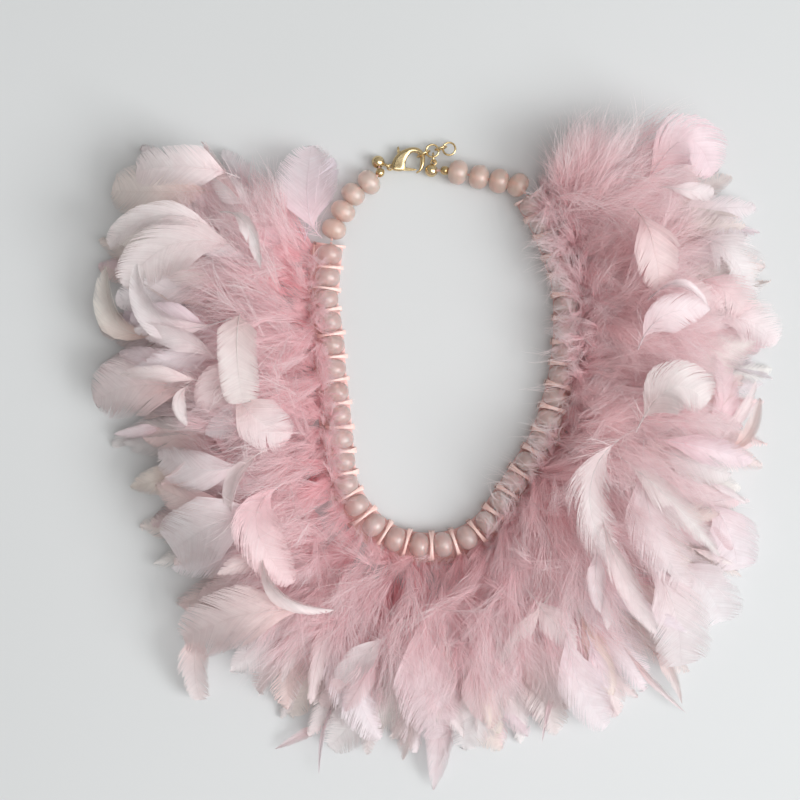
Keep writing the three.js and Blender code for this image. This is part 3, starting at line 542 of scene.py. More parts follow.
# ---------------------------------------------------------------- feathers with a place of their own
# section, shaft (view x, y, height) at foot, middle and tip, whole width in view units, roll in degrees, cup, tip p q, tone
HEROES = [
    ("left", (240, 178, 18), (190, 166, 32), (136, 172, 25), 40, 8, 0.4, 9, 3.2, "w", {"sweep": 0.3, "full_at": 0.4}),
    ("left", (228, 188, 8), (170, 192, 16), (112, 190, 10), 62, -4, 0.4, 4.5, 2.2, "g", {}),
    ("left", (238, 252, 20), (170, 214, 36), (109, 246, 28), 28, 24, 0.4, 9, 3.2, "w", {}),
    ("left", (256, 262, 18), (186, 240, 32), (124, 286, 22), 56, -12, 0.55, 5, 2.2, "w", {}),
    ("left", (232, 318, 26), (162, 322, 34), (137, 264, 36), 40, -38, 0.8, 3.0, 1.5, "w", {"full_at": 0.4}),
    ("left", (176, 330, 6), (120, 326, 14), (106, 266, 16), 36, -30, 0.9, 3.2, 1.6, "g", {}),
    ("left", (226, 340, 20), (180, 320, 29), (130, 320, 22), 32, 14, 0.5, 5, 2.2, "w", {}),
    ("left", (232, 370, 24), (180, 338, 33), (134, 330, 27), 32, -30, 0.5, 3.5, 1.6, "w", {}),
    ("left", (200, 376, 16), (160, 362, 25), (119, 352, 18), 28, 10, 0.5, 3.0, 1.4, "g", {}),
    ("left", (212, 384, 24), (164, 375, 33), (120, 374, 27), 20, 18, 0.5, 3.2, 1.5, "w", {}),
    ("left", (206, 398, 8), (148, 384, 20), (94, 402, 12), 66, 6, 0.4, 5, 2.4, "g", {"open_edge": 0.65, "full_at": 0.4}),
    ("left", (240, 314, 28), (237, 350, 38), (243, 403, 31), 37, -4, 0.3, 12, 3.6, "w", {"s0": 0.02, "full_at": 0.18, "sweep": 0.24, "shag": 0.012}),
    ("left", (322, 238, 9), (308, 206, 18), (312, 146, 10), 66, -8, 0.4, 4.5, 2.2, "w", {"open_edge": 0.55, "sweep": 0.4}),
    ("left", (304, 242, 7), (318, 200, 12), (333, 158, 6), 28, 6, 0.4, 4.5, 2.2, "w", {"open_edge": 0.5}),
    ("left", (220, 212, 28), (247, 224, 38), (260, 268, 31), 20, 26, 0.6, 3.0, 1.4, "w", {}),
    ("left", (300, 232, 12), (274, 236, 20), (258, 262, 16), 26, 10, 0.6, 3.0, 1.4, "p", {}),
    ("left", (192, 382, 24), (178, 402, 32), (187, 425, 25), 19, -30, 0.8, 3.0, 1.5, "w", {}),
    ("left", (266, 380, 22), (226, 380, 31), (208, 412, 22), 46, -10, 0.6, 4.0, 2.0, "p", {}),
    ("left", (230, 386, 22), (254, 416, 31), (288, 441, 22), 50, -6, 0.45, 5.0, 2.4, "b", {}),
    ("left", (270, 448, 26), (238, 474, 37), (230, 518, 30), 24, 38, 0.8, 3.2, 1.5, "w", {}),
    ("left", (254, 458, 18), (206, 470, 29), (158, 452, 20), 48, -16, 0.65, 4.0, 2.0, "w", {}),
    ("left", (212, 474, 12), (172, 478, 20), (130, 487, 12), 36, 6, 0.5, 3.0, 1.4, "g", {}),
    ("left", (244, 500, 16), (198, 502, 26), (156, 484, 19), 42, -28, 0.7, 3.4, 1.6, "p", {}),
    ("left", (268, 508, 18), (226, 520, 33), (172, 550, 18), 66, 4, 0.45, 9, 3.6, "w", {"full_at": 0.42}),
    ("left", (176, 420, 5), (148, 430, 9), (114, 434, 7), 16, 10, 0.4, 3.0, 1.5, "w", {}),
    ("front", (326, 612, 16), (250, 614, 30), (184, 640, 14), 62, 10, 0.45, 5.5, 2.6, "b", {"soft": 0.2}),
    ("front", (216, 612, 9), (196, 650, 13), (201, 700, 5), 36, 12, 0.5, 8, 2.8, "g", {"shag": 0.10, "splits": 8, "open_edge": 0.6}),
    ("front", (264, 532, 26), (274, 590, 37), (334, 610, 31), 24, 40, 0.8, 3.0, 1.5, "w", {"soft": 0.1}),
    ("front", (292, 480, 16), (256, 520, 34), (292, 584, 26), 56, -6, 0.6, 4.0, 2.0, "p", {"shag": 0.08, "splits": 7}),
    ("front", (396, 632, 18), (368, 652, 27), (339, 685, 18), 30, 8, 0.45, 6, 2.6, "w", {"soft": 0.2}),
    ("front", (398, 668, 6), (372, 700, 12), (330, 748, 5), 52, 2, 0.45, 5, 2.2, "w", {"open_edge": 0.6}),
    ("front", (336, 700, 5), (324, 730, 7), (319, 775, 3), 10, 40, 0.6, 1.8, 1.0, "m", {}),
    ("front", (334, 714, 3), (308, 732, 5), (275, 749, 2), 15, 20, 0.5, 2.4, 1.2, "g", {}),
    ("front", (432, 592, 14), (422, 660, 27), (440, 738, 12), 66, 2, 0.4, 4.5, 2.2, "m", {"soft": 0.3, "full_at": 0.62}),
    ("front", (438, 668, 5), (440, 730, 8), (433, 790, 3), 36, 4, 0.3, 2.6, 1.25, "m", {"soft": 0.15, "full_at": 0.6}),
    ("front", (506, 632, 8), (486, 690, 14), (464, 750, 6), 54, -4, 0.45, 5, 2.2, "w", {"open_edge": 0.6}),
    ("front", (566, 660, 6), (552, 700, 8), (542, 743, 3), 10, 30, 0.6, 1.8, 1.0, "m", {}),
    ("front", (570, 606, 18), (574, 670, 24), (607, 727, 8), 50, -6, 0.4, 4, 2.0, "w", {"open_edge": 0.65, "soft": 0.25}),
    ("front", (586, 630, 14), (596, 660, 20), (606, 692, 12), 22, 10, 0.5, 5, 2.2, "w", {}),
    ("right", (600, 534, 26), (596, 580, 36), (601, 614, 28), 24, 4, 0.5, 2.4, 1.3, "w", {"soft": 0.15}),
    ("right", (602, 506, 26), (616, 560, 40), (657, 634, 28), 28, 18, 0.5, 3.4, 1.7, "w", {"soft": 0.1}),
    ("right", (636, 552, 14), (672, 600, 24), (680, 666, 10), 66, -4, 0.4, 7, 3.0, "w", {"open_edge": 0.65, "shag": 0.06, "soft": 0.35}),
    ("right", (616, 636, 6), (648, 676, 8), (686, 713, 3), 14, 34, 0.5, 2.0, 1.1, "g", {}),
    ("right", (640, 640, 5), (668, 668, 7), (682, 704, 3), 20, 20, 0.5, 2.0, 1.1, "g", {}),
    ("right", (636, 432, 26), (672, 388, 40), (707, 404, 33), 56, -14, 0.6, 5, 2.4, "w", {"soft": 0.2}),
    ("right", (700, 450, 10), (722, 410, 20), (718, 352, 14), 36, 24, 0.6, 4, 2.0, "p", {}),
    ("right", (712, 448, 12), (736, 420, 18), (756, 381, 12), 18, 20, 0.6, 3, 1.6, "w", {}),
    ("right", (712, 452, 8), (744, 440, 14), (760, 398, 8), 18, -20, 0.6, 3, 1.6, "g", {}),
    ("right", (640, 438, 14), (696, 446, 24), (752, 462, 14), 34, 12, 0.5, 4, 2.0, "m", {}),
    ("right", (606, 448, 18), (660, 490, 34), (720, 556, 22), 40, 22, 0.5, 3.0, 1.5, "w", {"shag": 0.08, "splits": 8, "soft": 0.9}),
    ("right", (676, 520, 8), (706, 522, 12), (737, 524, 7), 11, 20, 0.5, 2.0, 1.1, "g", {}),
    ("right", (696, 480, 10), (722, 488, 14), (748, 504, 8), 13, 20, 0.5, 2.2, 1.2, "w", {}),
    ("right", (680, 544, 8), (708, 554, 12), (737, 566, 6), 13, 20, 0.5, 2.0, 1.1, "w", {}),
    ("right", (634, 430, 22), (590, 490, 36), (622, 580, 26), 62, -10, 0.4, 3, 1.6, "w", {"shag": 0.10, "splits": 10, "soft": 1.0}),
    ("right", (644, 440, 16), (652, 520, 32), (690, 590, 20), 66, 6, 0.35, 3.5, 1.8, "w", {"shag": 0.10, "splits": 10, "soft": 1.0}),
    ("right", (640, 196, 22), (684, 140, 34), (712, 176, 24), 56, -8, 0.4, 5, 2.4, "g", {"open_edge": 0.65, "soft": 0.25}),
    ("right", (656, 186, 26), (688, 190, 33), (714, 194, 24), 18, 10, 0.4, 6, 2.6, "w", {"soft": 0.1}),
    ("right", (634, 208, 30), (652, 238, 41), (660, 290, 31), 50, -6, 0.5, 4, 2.0, "p", {"soft": 0.2}),
    ("right", (638, 350, 30), (664, 316, 42), (710, 310, 34), 46, 16, 0.45, 3.0, 1.5, "w", {"soft": 0.1, "full_at": 0.42}),
    ("right", (648, 300, 30), (680, 284, 40), (709, 308, 34), 14, -36, 0.6, 3.0, 1.5, "w", {"soft": 0.1}),
    ("right", (690, 240, 12), (728, 250, 24), (750, 300, 14), 60, -6, 0.4, 4, 2.0, "w", {"open_edge": 0.5, "soft": 1.0, "shag": 0.1}),
    ("right", (706, 330, 10), (744, 318, 18), (776, 345, 8), 52, 6, 0.35, 4, 2.0, "w", {"open_edge": 0.5, "soft": 0.8}),
    ("right", (690, 280, 14), (724, 290, 24), (750, 322, 14), 50, 10, 0.4, 4, 2.0, "p", {"soft": 1.0, "shag": 0.1}),
    ("right", (696, 500, 8), (724, 520, 14), (738, 570, 6), 56, 0, 0.5, 6, 2.8, "w", {"open_edge": 0.6}),
    ("right", (660, 560, 8), (700, 580, 14), (722, 622, 6), 60, 4, 0.5, 6, 2.8, "w", {"open_edge": 0.6}),
]
for sec, a, m, b, wide, roll, cup, p, q, tone, more in HEROES:
    A, M_, B_ = at_view(*a), at_view(*m), at_view(*b)
    ctrl = 2 * M_ - (A + B_) / 2
    petal(petals[sec], [A, ctrl, B_], wide * SCALE / 2 * 1.04, roll=math.radians(roll), cup=cup, p=p, q=q, tone=tone,
          **{"splits": 3 if sec == "left" else 6, "shag": 0.02 if sec == "left" else 0.05, "pitch": 0.38, "soft": {"left": 0.10, "front": 0.35, "right": 0.35}[sec], **more})


# ---------------------------------------------------------------- materials
# last, a few pale wisps that stray over the left and front down
scatter_locks(num(60), (0.05, 0.36), (22, 42), (0.3, 0.9), 10, 0.6, PINK_PALE, SILK, z0=(18, 25), n_range=(4.9, 15.4), splay=0.30, root=2.0, wave=0.09, fmax=0.85, width=(0.12, 0.22))
scatter_locks(num(36), (0.05, 0.40), (22, 42), (0.3, 0.9), 10, 0.5, PINK_PALE, SILK, z0=(16, 23), n_range=(15.4, 25.0), splay=0.30, root=2.0, wave=0.09, fmax=0.9, width=(0.12, 0.2))


def node_material(name):
    m = bpy.data.materials.new(name)
    m.use_nodes = True
    nt = m.node_tree
    nt.nodes.clear()
    out = nt.nodes.new("ShaderNodeOutputMaterial")
    bs = nt.nodes.new("ShaderNodeBsdfPrincipled")
    nt.links.new(bs.outputs[0], out.inputs["Surface"])
    return m, nt, bs, out


def noise(nt, scale, detail=2.0, rough=0.5, vector=None):
    tc = nt.nodes.new("ShaderNodeTexCoord")
    n = nt.nodes.new("ShaderNodeTexNoise")
    n.inputs["Scale"].default_value = scale
    n.inputs["Detail"].default_value = detail
    n.inputs["Roughness"].default_value = rough
    nt.links.new(vector or tc.outputs["Object"], n.inputs["Vector"])
    return n


def mix_colour(nt, fac, a, b, kind="MIX"):
    mx = nt.nodes.new("ShaderNodeMix")
    mx.data_type = "RGBA"
    mx.blend_type = kind
    for sock, val in ((mx.inputs[0], fac), (mx.inputs[6], a), (mx.inputs[7], b)):
        if hasattr(val, "links") or isinstance(val, bpy.types.NodeSocket):
            nt.links.new(val, sock)
        elif isinstance(val, (int, float)):
            sock.default_value = val
        else:
            sock.default_value = (*val, 1.0)
    return mx.outputs[2]


def ramp(nt, value, stops):
    r = nt.nodes.new("ShaderNodeValToRGB")
    els = r.color_ramp.elements
    while len(els) < len(stops):
        els.new(0.5)
    for e, (pos, col) in zip(els, stops):
        e.position = pos
        e.color = (*col, 1.0) if len(col) == 3 else col
    nt.links.new(value, r.inputs[0])
    return r.outputs[0]


def bump(nt, bs, height, strength, distance):
    b = nt.nodes.new("ShaderNodeBump")
    b.inputs["Strength"].default_value = strength
    b.inputs["Distance"].default_value = distance
    nt.links.new(height, b.inputs["Height"])
    nt.links.new(b.outputs[0], bs.inputs["Normal"])


def feather_material(name, rough, through, sheen):
    m, nt, bs, out = node_material(name)
    att = nt.nodes.new("ShaderNodeAttribute")
    att.attribute_name = "tint"
    n = noise(nt, 210.0, 3.0, 0.6)
    fac = ramp(nt, n.outputs[0], [(0.32, (0.95, 0.92, 0.925)), (0.68, (1.0, 1.0, 1.0))])
    col = mix_colour(nt, 1.0, att.outputs["Color"], fac, "MULTIPLY")
    nt.links.new(col, bs.inputs["Base Color"])
    bs.inputs["Roughness"].default_value = rough
    bs.inputs["Specular IOR Level"].default_value = 0.35
    bs.inputs["Sheen Weight"].default_value = sheen
    bs.inputs["Sheen Roughness"].default_value = 0.4
    bs.inputs["Sheen Tint"].default_value = (1.0, 0.93, 0.94, 1.0)
    tr = nt.nodes.new("ShaderNodeBsdfTranslucent")
    nt.links.new(col, tr.inputs["Color"])
    mx = nt.nodes.new("ShaderNodeMixShader")
    mx.inputs[0].default_value = through
    nt.links.new(bs.outputs[0], mx.inputs[1])
    nt.links.new(tr.outputs[0], mx.inputs[2])
    nt.links.new(mx.outputs[0], out.inputs["Surface"])
    return m


vane_mat = feather_material("feather_vane", 0.45, 0.45, 0.2)
down_mat = feather_material("feather_down", 0.5, 0.55, 0.3)

made = {}
for k in ("left", "front", "right"):
    made[k] = petals[k].objects(vane_mat) + down[k].objects(down_mat)
    for ob in made[k]:
        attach(ob, "collar")
    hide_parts("feathers_" + k)


# ---------------------------------------------------------------- beads
def bead_material(name, dark, light):
    m, nt, bs, out = node_material(name)
    n = noise(nt, 55.0, 2.0)
    fine = noise(nt, 1400.0, 2.0)
    c = ramp(nt, n.outputs[0], [(0.3, dark), (0.7, light)])
    nt.links.new(c, bs.inputs["Base Color"])
    bs.inputs["Transmission Weight"].default_value = 0.6
    bs.inputs["Subsurface Weight"].default_value = 0.65
    bs.inputs["Subsurface Radius"].default_value = (1.0, 0.55, 0.5)
    bs.inputs["Subsurface Scale"].default_value = 0.0035
    bs.inputs["Roughness"].default_value = 0.33
    bs.inputs["IOR"].default_value = 1.42
    bs.inputs["Coat Weight"].default_value = 0.9
    bs.inputs["Coat Roughness"].default_value = 0.3
    bump(nt, bs, fine.outputs[0], 0.25, 0.00005)
    return m


def revolve(profile, sides):
    """A closed ring profile (radius, along the axis) turned about the axis Y: vertices and quads."""
    pr = np.array(profile)
    m = len(pr)
    a = np.arange(sides) / sides * 2 * np.pi
    v = np.stack([pr[None, :, 0] * np.cos(a)[:, None], np.broadcast_to(pr[None, :, 1], (sides, m)), pr[None, :, 0] * np.sin(a)[:, None]], axis=-1)
    f = [[i * m + j, i * m + (j + 1) % m, ((i + 1) % sides) * m + (j + 1) % m, ((i + 1) % sides) * m + j] for i in range(sides) for j in range(m)]
    return v.reshape(-1, 3), np.array(f)


bead_mat = bead_material("frosted_bead", (0.85, 0.64, 0.595), (0.91, 0.77, 0.74))
# the free beads get a lighter, peachier copy of the bead colours: painted light standing in for the bright table seen
# through them
free_bead_painted_light_mat = bead_material("frosted_bead_painted_light", (0.92, 0.68, 0.59), (0.96, 0.80, 0.73))
R_B, H_B, BORE = 5.0, 4.0, 0.75
prof = [[BORE, -3.3], [BORE + 0.3, -3.66], [1.6, -3.84]]
for y in np.concatenate([-np.linspace(3.78, 0.5, 9), [0], np.linspace(0.5, 3.78, 9)]):
    prof.append([R_B * (1 - (abs(y) / H_B) ** 2.25) ** (1 / 2.25), y])
prof += [[1.6, 3.84], [BORE + 0.3, 3.66], [BORE, 3.3]]
bv, bf = revolve(prof, 40)
pos, tan = on_strand(np.arange(1, 42))
for i in range(41):
    t = tan[i]
    side = unit(np.cross(UP, t))
    third = np.cross(side, t)
    turn = rng.uniform(0, 2 * np.pi)
    wob = 1 + 0.018 * np.sin(np.arctan2(bv[:, 2], bv[:, 0]) * 2 + turn)
    v = pos[i] + (bv[:, :1] * wob[:, None] * side + bv[:, 1:2] * t + bv[:, 2:3] * wob[:, None] * third) * np.array([1, 1, 1])
    ob = make_mesh(f"frosted_bead_{i + 1:02d}", v, bf)
    ob.data.materials.append(bead_mat if 5 <= i + 1 <= 37 else free_bead_painted_light_mat)
    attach(ob, "collar" if 5 <= i + 1 <= 37 else "back_strand")
    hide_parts(f"bead_{i + 1:02d}")


# ---------------------------------------------------------------- floss lashings, ribbon, cord
def tubes(paths, radius, sides, closed_ends=True):
    """Round tubes along several paths of the same number of points: vertices and quads. radius may vary along the path."""
    P = np.asarray(paths, float)
    n, m, _ = P.shape
    tan = unit(np.gradient(P, axis=1))
    ref = np.where(np.abs(tan[..., 2:3]) > 0.9, np.array([1.0, 0, 0]), UP)
    a1 = unit(np.cross(tan, ref))
    a2 = np.cross(a1, tan)
    r = np.broadcast_to(radius, (n, m))[..., None]
    ring = []
    for k in range(sides):
        a = 2 * np.pi * k / sides
        ring.append(P + (a1 * math.cos(a) + a2 * math.sin(a)) * r)
    v = np.stack(ring, axis=2)
    i = np.arange(n)[:, None, None] * m * sides
    j = np.arange(m - 1)[None, :, None] * sides
    k = np.arange(sides)[None, None, :]
    k2 = (k + 1) % sides
    f = np.stack(np.broadcast_arrays(i + j + k, i + j + k2, i + j + sides + k2, i + j + sides + k), axis=-1).reshape(-1, 4)
    return v.reshape(-1, 3), f


def floss_material():
    m, nt, bs, out = node_material("satin_floss")
    n = noise(nt, 420.0, 3.0)
    c = ramp(nt, n.outputs[0], [(0.3, (0.95, 0.64, 0.58)), (0.7, (0.98, 0.79, 0.74))])
    nt.links.new(c, bs.inputs["Base Color"])
    bs.inputs["Roughness"].default_value = 0.27
    bs.inputs["Sheen Weight"].default_value = 0.3
    bs.inputs["Sheen Roughness"].default_value = 0.35
    bs.inputs["Specular IOR Level"].default_value = 0.6
    fine = noise(nt, 5200.0, 1.0)
    bump(nt, bs, fine.outputs[0], 0.3, 0.00003)
    return m


floss_mat = floss_material()
STITCH = np.array([[-4.2, 1.3], [-5.5, 2.6], [-5.7, 4.8], [-3.6, 7.9], [0.0, 9.1], [3.2, 8.3], [5.4, 5.6], [6.5, 3.2], [7.1, 1.7]])
FLARE = np.array([1.0, 1.35, 1.4, 0.8, 0.55, 0.66, 1.0, 1.3, 1.4])  # half width of the bundle
CROWN = np.array([0.2, 0.3, 0.42, 0.5, 0.55, 0.5, 0.42, 0.36, 0.3])
h1 = (KNOTS[3] + KNOTS[4]) / 2
h2 = (KNOTS[36] + KNOTS[37]) / 2
gn = np.linspace(4, 5, 400)
n_left = gn[np.argmin(np.linalg.norm(on_strand(gn)[0] - h1, axis=1))]
n_right = gn[np.argmin(np.linalg.norm(on_strand(gn + 33)[0] - h2, axis=1))] + 33
places = [n_left + 0.095] + [k + 0.5 for k in range(5, 37)] + [n_right - 0.095]
ts = np.linspace(0, 1, len(STITCH))
tf = np.linspace(0, 1, 26)
from_knots = lambda col: np.interp(tf, ts, col)


def smooth(col):
    x = np.interp(np.linspace(0, 1, 26), ts, col)
    for _ in range(3):
        x[1:-1] = (x[:-2] + 2 * x[1:-1] + x[2:]) / 4
    return x


so, sz, sw, sc = smooth(STITCH[:, 0]), smooth(STITCH[:, 1]), smooth(FLARE), smooth(CROWN)
dz = np.gradient(sz) / np.maximum(np.hypot(np.gradient(so), np.gradient(sz)), 1e-6)
do = np.gradient(so) / np.maximum(np.hypot(np.gradient(so), np.gradient(sz)), 1e-6)
all_v, all_f, nv = [], [], 0
for n in places:
    p, t = on_strand(n)
    p, t = p[0], t[0].copy()
    t[2] = 0
    t = unit(t)
    o = np.array([t[1], -t[0], 0])
    base = np.array([p[0], p[1], 0.0])
    paths = []
    end = n < 5 or n > 37
    snug = float(np.interp(n, [4, 5, 15, 21, 24, 38], [0.72, 0.62, 0.8, 0.85, 1.0, 1.0])) * rng.uniform(0.88, 1.12)
    tilt, bow = rng.normal() * 0.35, rng.normal() * 0.35
    if end:
        snug, tilt, bow = 0.5, 0.0, 0.0
    # the two end lashings sit low and lean away from the beads that lift
    top = np.minimum(sz, 8.0) if end else sz
    lean = (0.65 if n < 20 else -0.65) * np.sin(np.linspace(0, np.pi, 26)) if end else 0.0
    for s in range(18):
        x = -1 + 2 * (s % 9 + 0.5) / 9 + rng.normal() * 0.05
        lay = (s // 9) * 0.22 + rng.normal() * 0.03
        cross = rng.normal() * 0.16
        w = sw * snug * (0.8 if end else 1.0)
        xx = x * w + cross * np.sin(np.linspace(0, np.pi * 2, 26)) * 0.5 * w
        hgt = sc * (1 - x * x) * 0.5 + lay
        run_off = tilt * np.linspace(-1, 1, 26) + bow * (1 - np.linspace(-1, 1, 26) ** 2)
        q = base + o * (so - dz * hgt * 0.6)[:, None] + UP * (top + do * hgt)[:, None] + t * (xx + run_off + lean)[:, None]
        paths.append(q)
    v, f = tubes(paths, (0.15 + 0.02 * np.sin(np.linspace(0, 9, 26))) * (0.72 + 0.3 * snug), 5)
    all_v.append(v); all_f.append(f + nv); nv += len(v)
# the run of thread along the outside of the stitches, as a two-ply twist
gn = np.linspace(places[0] - 0.03, places[-1] + 0.03, 1500)
run = offset(gn, 7.0, 1.75)
arc = np.concatenate([[0], np.cumsum(np.linalg.norm(np.diff(run, axis=0), axis=1))])
_, tg = on_strand(gn)
outv = unit(np.column_stack([tg[:, 1], -tg[:, 0], np.zeros(len(gn))]))
for s in range(3):
    a = arc / 2.6 * 2 * np.pi + s * 2 * np.pi / 3
    q = run + outv * (0.24 * np.cos(a))[:, None] + UP * (0.24 * np.sin(a))[:, None]
    v, f = tubes([q], 0.21, 6)
    all_v.append(v); all_f.append(f + nv); nv += len(v)
lash = make_mesh("floss_lashings", np.vstack(all_v), np.vstack(all_f))
lash.data.materials.append(floss_mat)
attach(lash, "collar")
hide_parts("lashing_thread")


def weave_material(name, dark, light, scale, rough):
    m, nt, bs, out = node_material(name)
    n = noise(nt, scale, 3.0, 0.6)
    c = ramp(nt, n.outputs[0], [(0.3, dark), (0.7, light)])
    nt.links.new(c, bs.inputs["Base Color"])
    bs.inputs["Roughness"].default_value = rough
    bs.inputs["Sheen Weight"].default_value = 0.3
    bs.inputs["Sheen Roughness"].default_value = 0.5
    fine = noise(nt, 3500.0, 2.0)
    bump(nt, bs, fine.outputs[0], 0.4, 0.00004)
    return m


ribbon_mat = weave_material("grosgrain_ribbon", (0.78, 0.48, 0.45), (0.87, 0.60, 0.57), 300.0, 0.7)
cord_mat = weave_material("beading_cord", (0.74, 0.44, 0.38), (0.86, 0.58, 0.52), 700.0, 0.55)
# grosgrain ribbon: cross ribs in the mesh
step = np.linalg.norm(np.diff(on_strand(np.array([20.0, 20.02]))[0], axis=0)) / 0.02
gn = np.linspace(n_left + 0.11, n_right - 0.11, 1700)
cs = [(-4.6, 0.12), (-4.45, 0.05), (8.35, 0.05), (8.5, 0.12), (8.5, 0.62), (8.25, 0.8), (6.0, 0.82), (3.5, 0.82), (1.0, 0.82), (-1.5, 0.82), (-3.2, 0.82), (-4.35, 0.8), (-4.6, 0.62)]
rings = []
for i, (o, z) in enumerate(cs):
    q = offset(gn, o, z)
    if z > 0.7:
        q[:, 2] += 0.13 * np.sin(np.arange(len(gn)) * np.pi / 2)
    rings.append(q)
v = np.stack(rings, axis=1)
m = len(cs)
i = np.arange(len(gn) - 1)[:, None] * m
j = np.arange(m)[None, :]
j2 = (j + 1) % m
f = np.stack(np.broadcast_arrays(i + j, i + j2, i + m + j2, i + m + j), axis=-1).reshape(-1, 4)
ribbon = make_mesh("grosgrain_ribbon", v.reshape(-1, 3), f)
ribbon.data.materials.append(ribbon_mat)
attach(ribbon, "collar")
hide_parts("backing_ribbon")
mid_line = offset(gn, 1.95, 0.4)


def twisted(name, line, node, body):
    """A three-ply cord along a line."""
    line = np.asarray(line, float)
    seg = np.linalg.norm(np.diff(line, axis=0), axis=1)
    arc0 = np.concatenate([[0], np.cumsum(seg)])
    a_s = np.linspace(0, arc0[-1], max(int(arc0[-1] / 0.32), 12))
    c = np.stack([np.interp(a_s, arc0, line[:, i]) for i in range(3)], axis=-1)
    tg = unit(np.gradient(c, axis=0))
    b = unit(np.cross(tg, UP))
    n = np.cross(b, tg)
    paths = []
    for s in range(3):
        a = a_s / 2.4 * 2 * np.pi + s * 2 * np.pi / 3
        paths.append(c + b * (0.25 * np.cos(a))[:, None] + n * (0.25 * np.sin(a))[:, None])
    v, f = tubes(paths, 0.235, 6)
    ob = make_mesh(name, v, f)
    ob.data.materials.append(cord_mat)
    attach(ob, body)
    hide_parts(node)
    return ob


L_SP, L_CO = np.array([-23.4, 111.6, 4.3]), np.array([-24.2, 116.0, 3.1])
R_SP, R_CO = np.array([2.6, 112.4, 4.5]), np.array([-2.8, 112.6, 3.1])
twisted("cord_strand_collar", on_strand(np.linspace(n_left + 0.04, n_right - 0.04, 900))[0], "cord_collar", "collar")
left_line = np.vstack([on_strand(np.linspace(n_left - 0.04, 1.0, 90))[0], L_SP, L_CO + (L_SP - L_CO) * 0.3])
right_line = np.vstack([on_strand(np.linspace(n_right + 0.04, 41.0, 90))[0], R_SP, R_CO + (R_SP - R_CO) * 0.25])
twisted("cord_strand_left", left_line, "cord_back_left", "back_strand")
twisted("cord_strand_right", right_line, "cord_back_right", "back_strand")


# ---------------------------------------------------------------- gold findings
def gold_material():
    m, nt, bs, out = node_material("polished_gold")
    n = noise(nt, 160.0, 3.0)
    c = ramp(nt, n.outputs[0], [(0.3, (0.62, 0.455, 0.22)), (0.7, (0.77, 0.62, 0.37))])
    nt.links.new(c, bs.inputs["Base Color"])
    bs.inputs["Metallic"].default_value = 1.0
    r = nt.nodes.new("ShaderNodeMapRange")
    r.inputs["To Min"].default_value = 0.12
    r.inputs["To Max"].default_value = 0.26
    n2 = noise(nt, 600.0, 2.0)
    nt.links.new(n2.outputs[0], r.inputs["Value"])
    nt.links.new(r.outputs[0], bs.inputs["Roughness"])
    fine = noise(nt, 240.0, 2.0)
    bump(nt, bs, fine.outputs[0], 0.12, 0.0002)
    return m


gold = gold_material()
FZ = 3.3


def place(ob, node, body):
    ob.data.materials.append(gold)
    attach(ob, body)
    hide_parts(node)
    return ob


def aligned(v, axis, centre):
    """Turns a shape whose axis is Y onto axis, and moves it to centre."""
    t = unit(np.asarray(axis, float))
    side = unit(np.cross(UP, t)) if abs(t[2]) < 0.95 else np.array([1.0, 0, 0])
    third = np.cross(side, t)
    return np.asarray(centre) + v[:, :1] * side + v[:, 1:2] * t + v[:, 2:3] * third


for side_name, c, a, b in (("left", L_SP, KNOTS[0], L_CO), ("right", R_SP, KNOTS[40], R_CO)):
    pr = [[0.95, -1.5], [1.15, -1.52]] + [[1.8 * math.sqrt(1 - (y / 2.0) ** 2), y] for y in np.linspace(-1.35, 1.35, 13)] + [[1.15, 1.52], [0.95, 1.5]]
    v, f = revolve(pr, 36)
    place(make_mesh("spacer_" + side_name, aligned(v, b - a, c), f), "spacer_ball_" + side_name, "back_strand")


def torus(radius, wire, a1, a2, centre, n=56, m=16):
    a = np.arange(n) / n * 2 * np.pi
    b = np.arange(m) / m * 2 * np.pi
    a1, a2 = unit(np.asarray(a1, float)), unit(np.asarray(a2, float))
    ax = np.cross(a1, a2)
    rad = np.cos(a)[:, None] * a1 + np.sin(a)[:, None] * a2
    v = np.asarray(centre) + rad[:, None, :] * (radius + wire * np.cos(b))[None, :, None] + ax * (wire * np.sin(b))[None, :, None]
    i = np.arange(n)[:, None] * m
    i2 = ((np.arange(n) + 1) % n)[:, None] * m
    j = np.arange(m)[None, :]
    j2 = (j + 1) % m
    f = np.stack(np.broadcast_arrays(i + j, i + j2, i2 + j2, i2 + j), axis=-1).reshape(-1, 4)
    return v.reshape(-1, 3), f


def joined(parts):
    vs, fs, n = [], [], 0
    for v, f in parts:
        vs.append(v); fs.append(f + n); n += len(v)
    return np.vstack(vs), np.vstack(fs)


def cover(centre, mouth):
    """A knot cover: two hinged half shells closed to a ball, with a seam and an open mouth."""
    R, wall = 2.6, 0.5
    pr = []
    for k in range(26):
        a = math.pi - 0.02 - k / 25 * (math.pi - 0.02 - math.asin(1.2 / R))
        r = R * (1 - 0.05 * math.exp(-((a - 1.62) / 0.05) ** 2))
        pr.append([max(r * math.sin(a), 0.02), r * math.cos(a)])
    inner = R - wall
    for k in range(10):
        a = math.asin(1.2 / inner) + k / 9 * (math.pi - 0.03 - math.asin(1.2 / inner))
        pr.append([max(inner * math.sin(a), 0.02), inner * math.cos(a)])
    v, f = revolve(pr, 48)
    return aligned(v, np.asarray(mouth) - np.asarray(centre), centre), f


EYE, L_LOOP, R_LOOP = np.array([-19.4, 113.84]), np.array([-20.8, 114.6]), np.array([-1.9, 115.9])
d = np.array([*(EYE - L_LOOP), 0.0])
v, f = joined([cover(L_CO, L_SP), torus(1.55, 0.42, d, UP, [*L_LOOP, FZ])])
place(make_mesh("knot_shell_left", v, f), "knot_cover_left", "back_strand")
v, f = joined([cover(R_CO, R_SP), torus(1.05, 0.34, [1, 0, 0], [0, 1, 0], [*R_LOOP, FZ])])
place(make_mesh("knot_shell_right", v, f), "knot_cover_right", "back_strand")


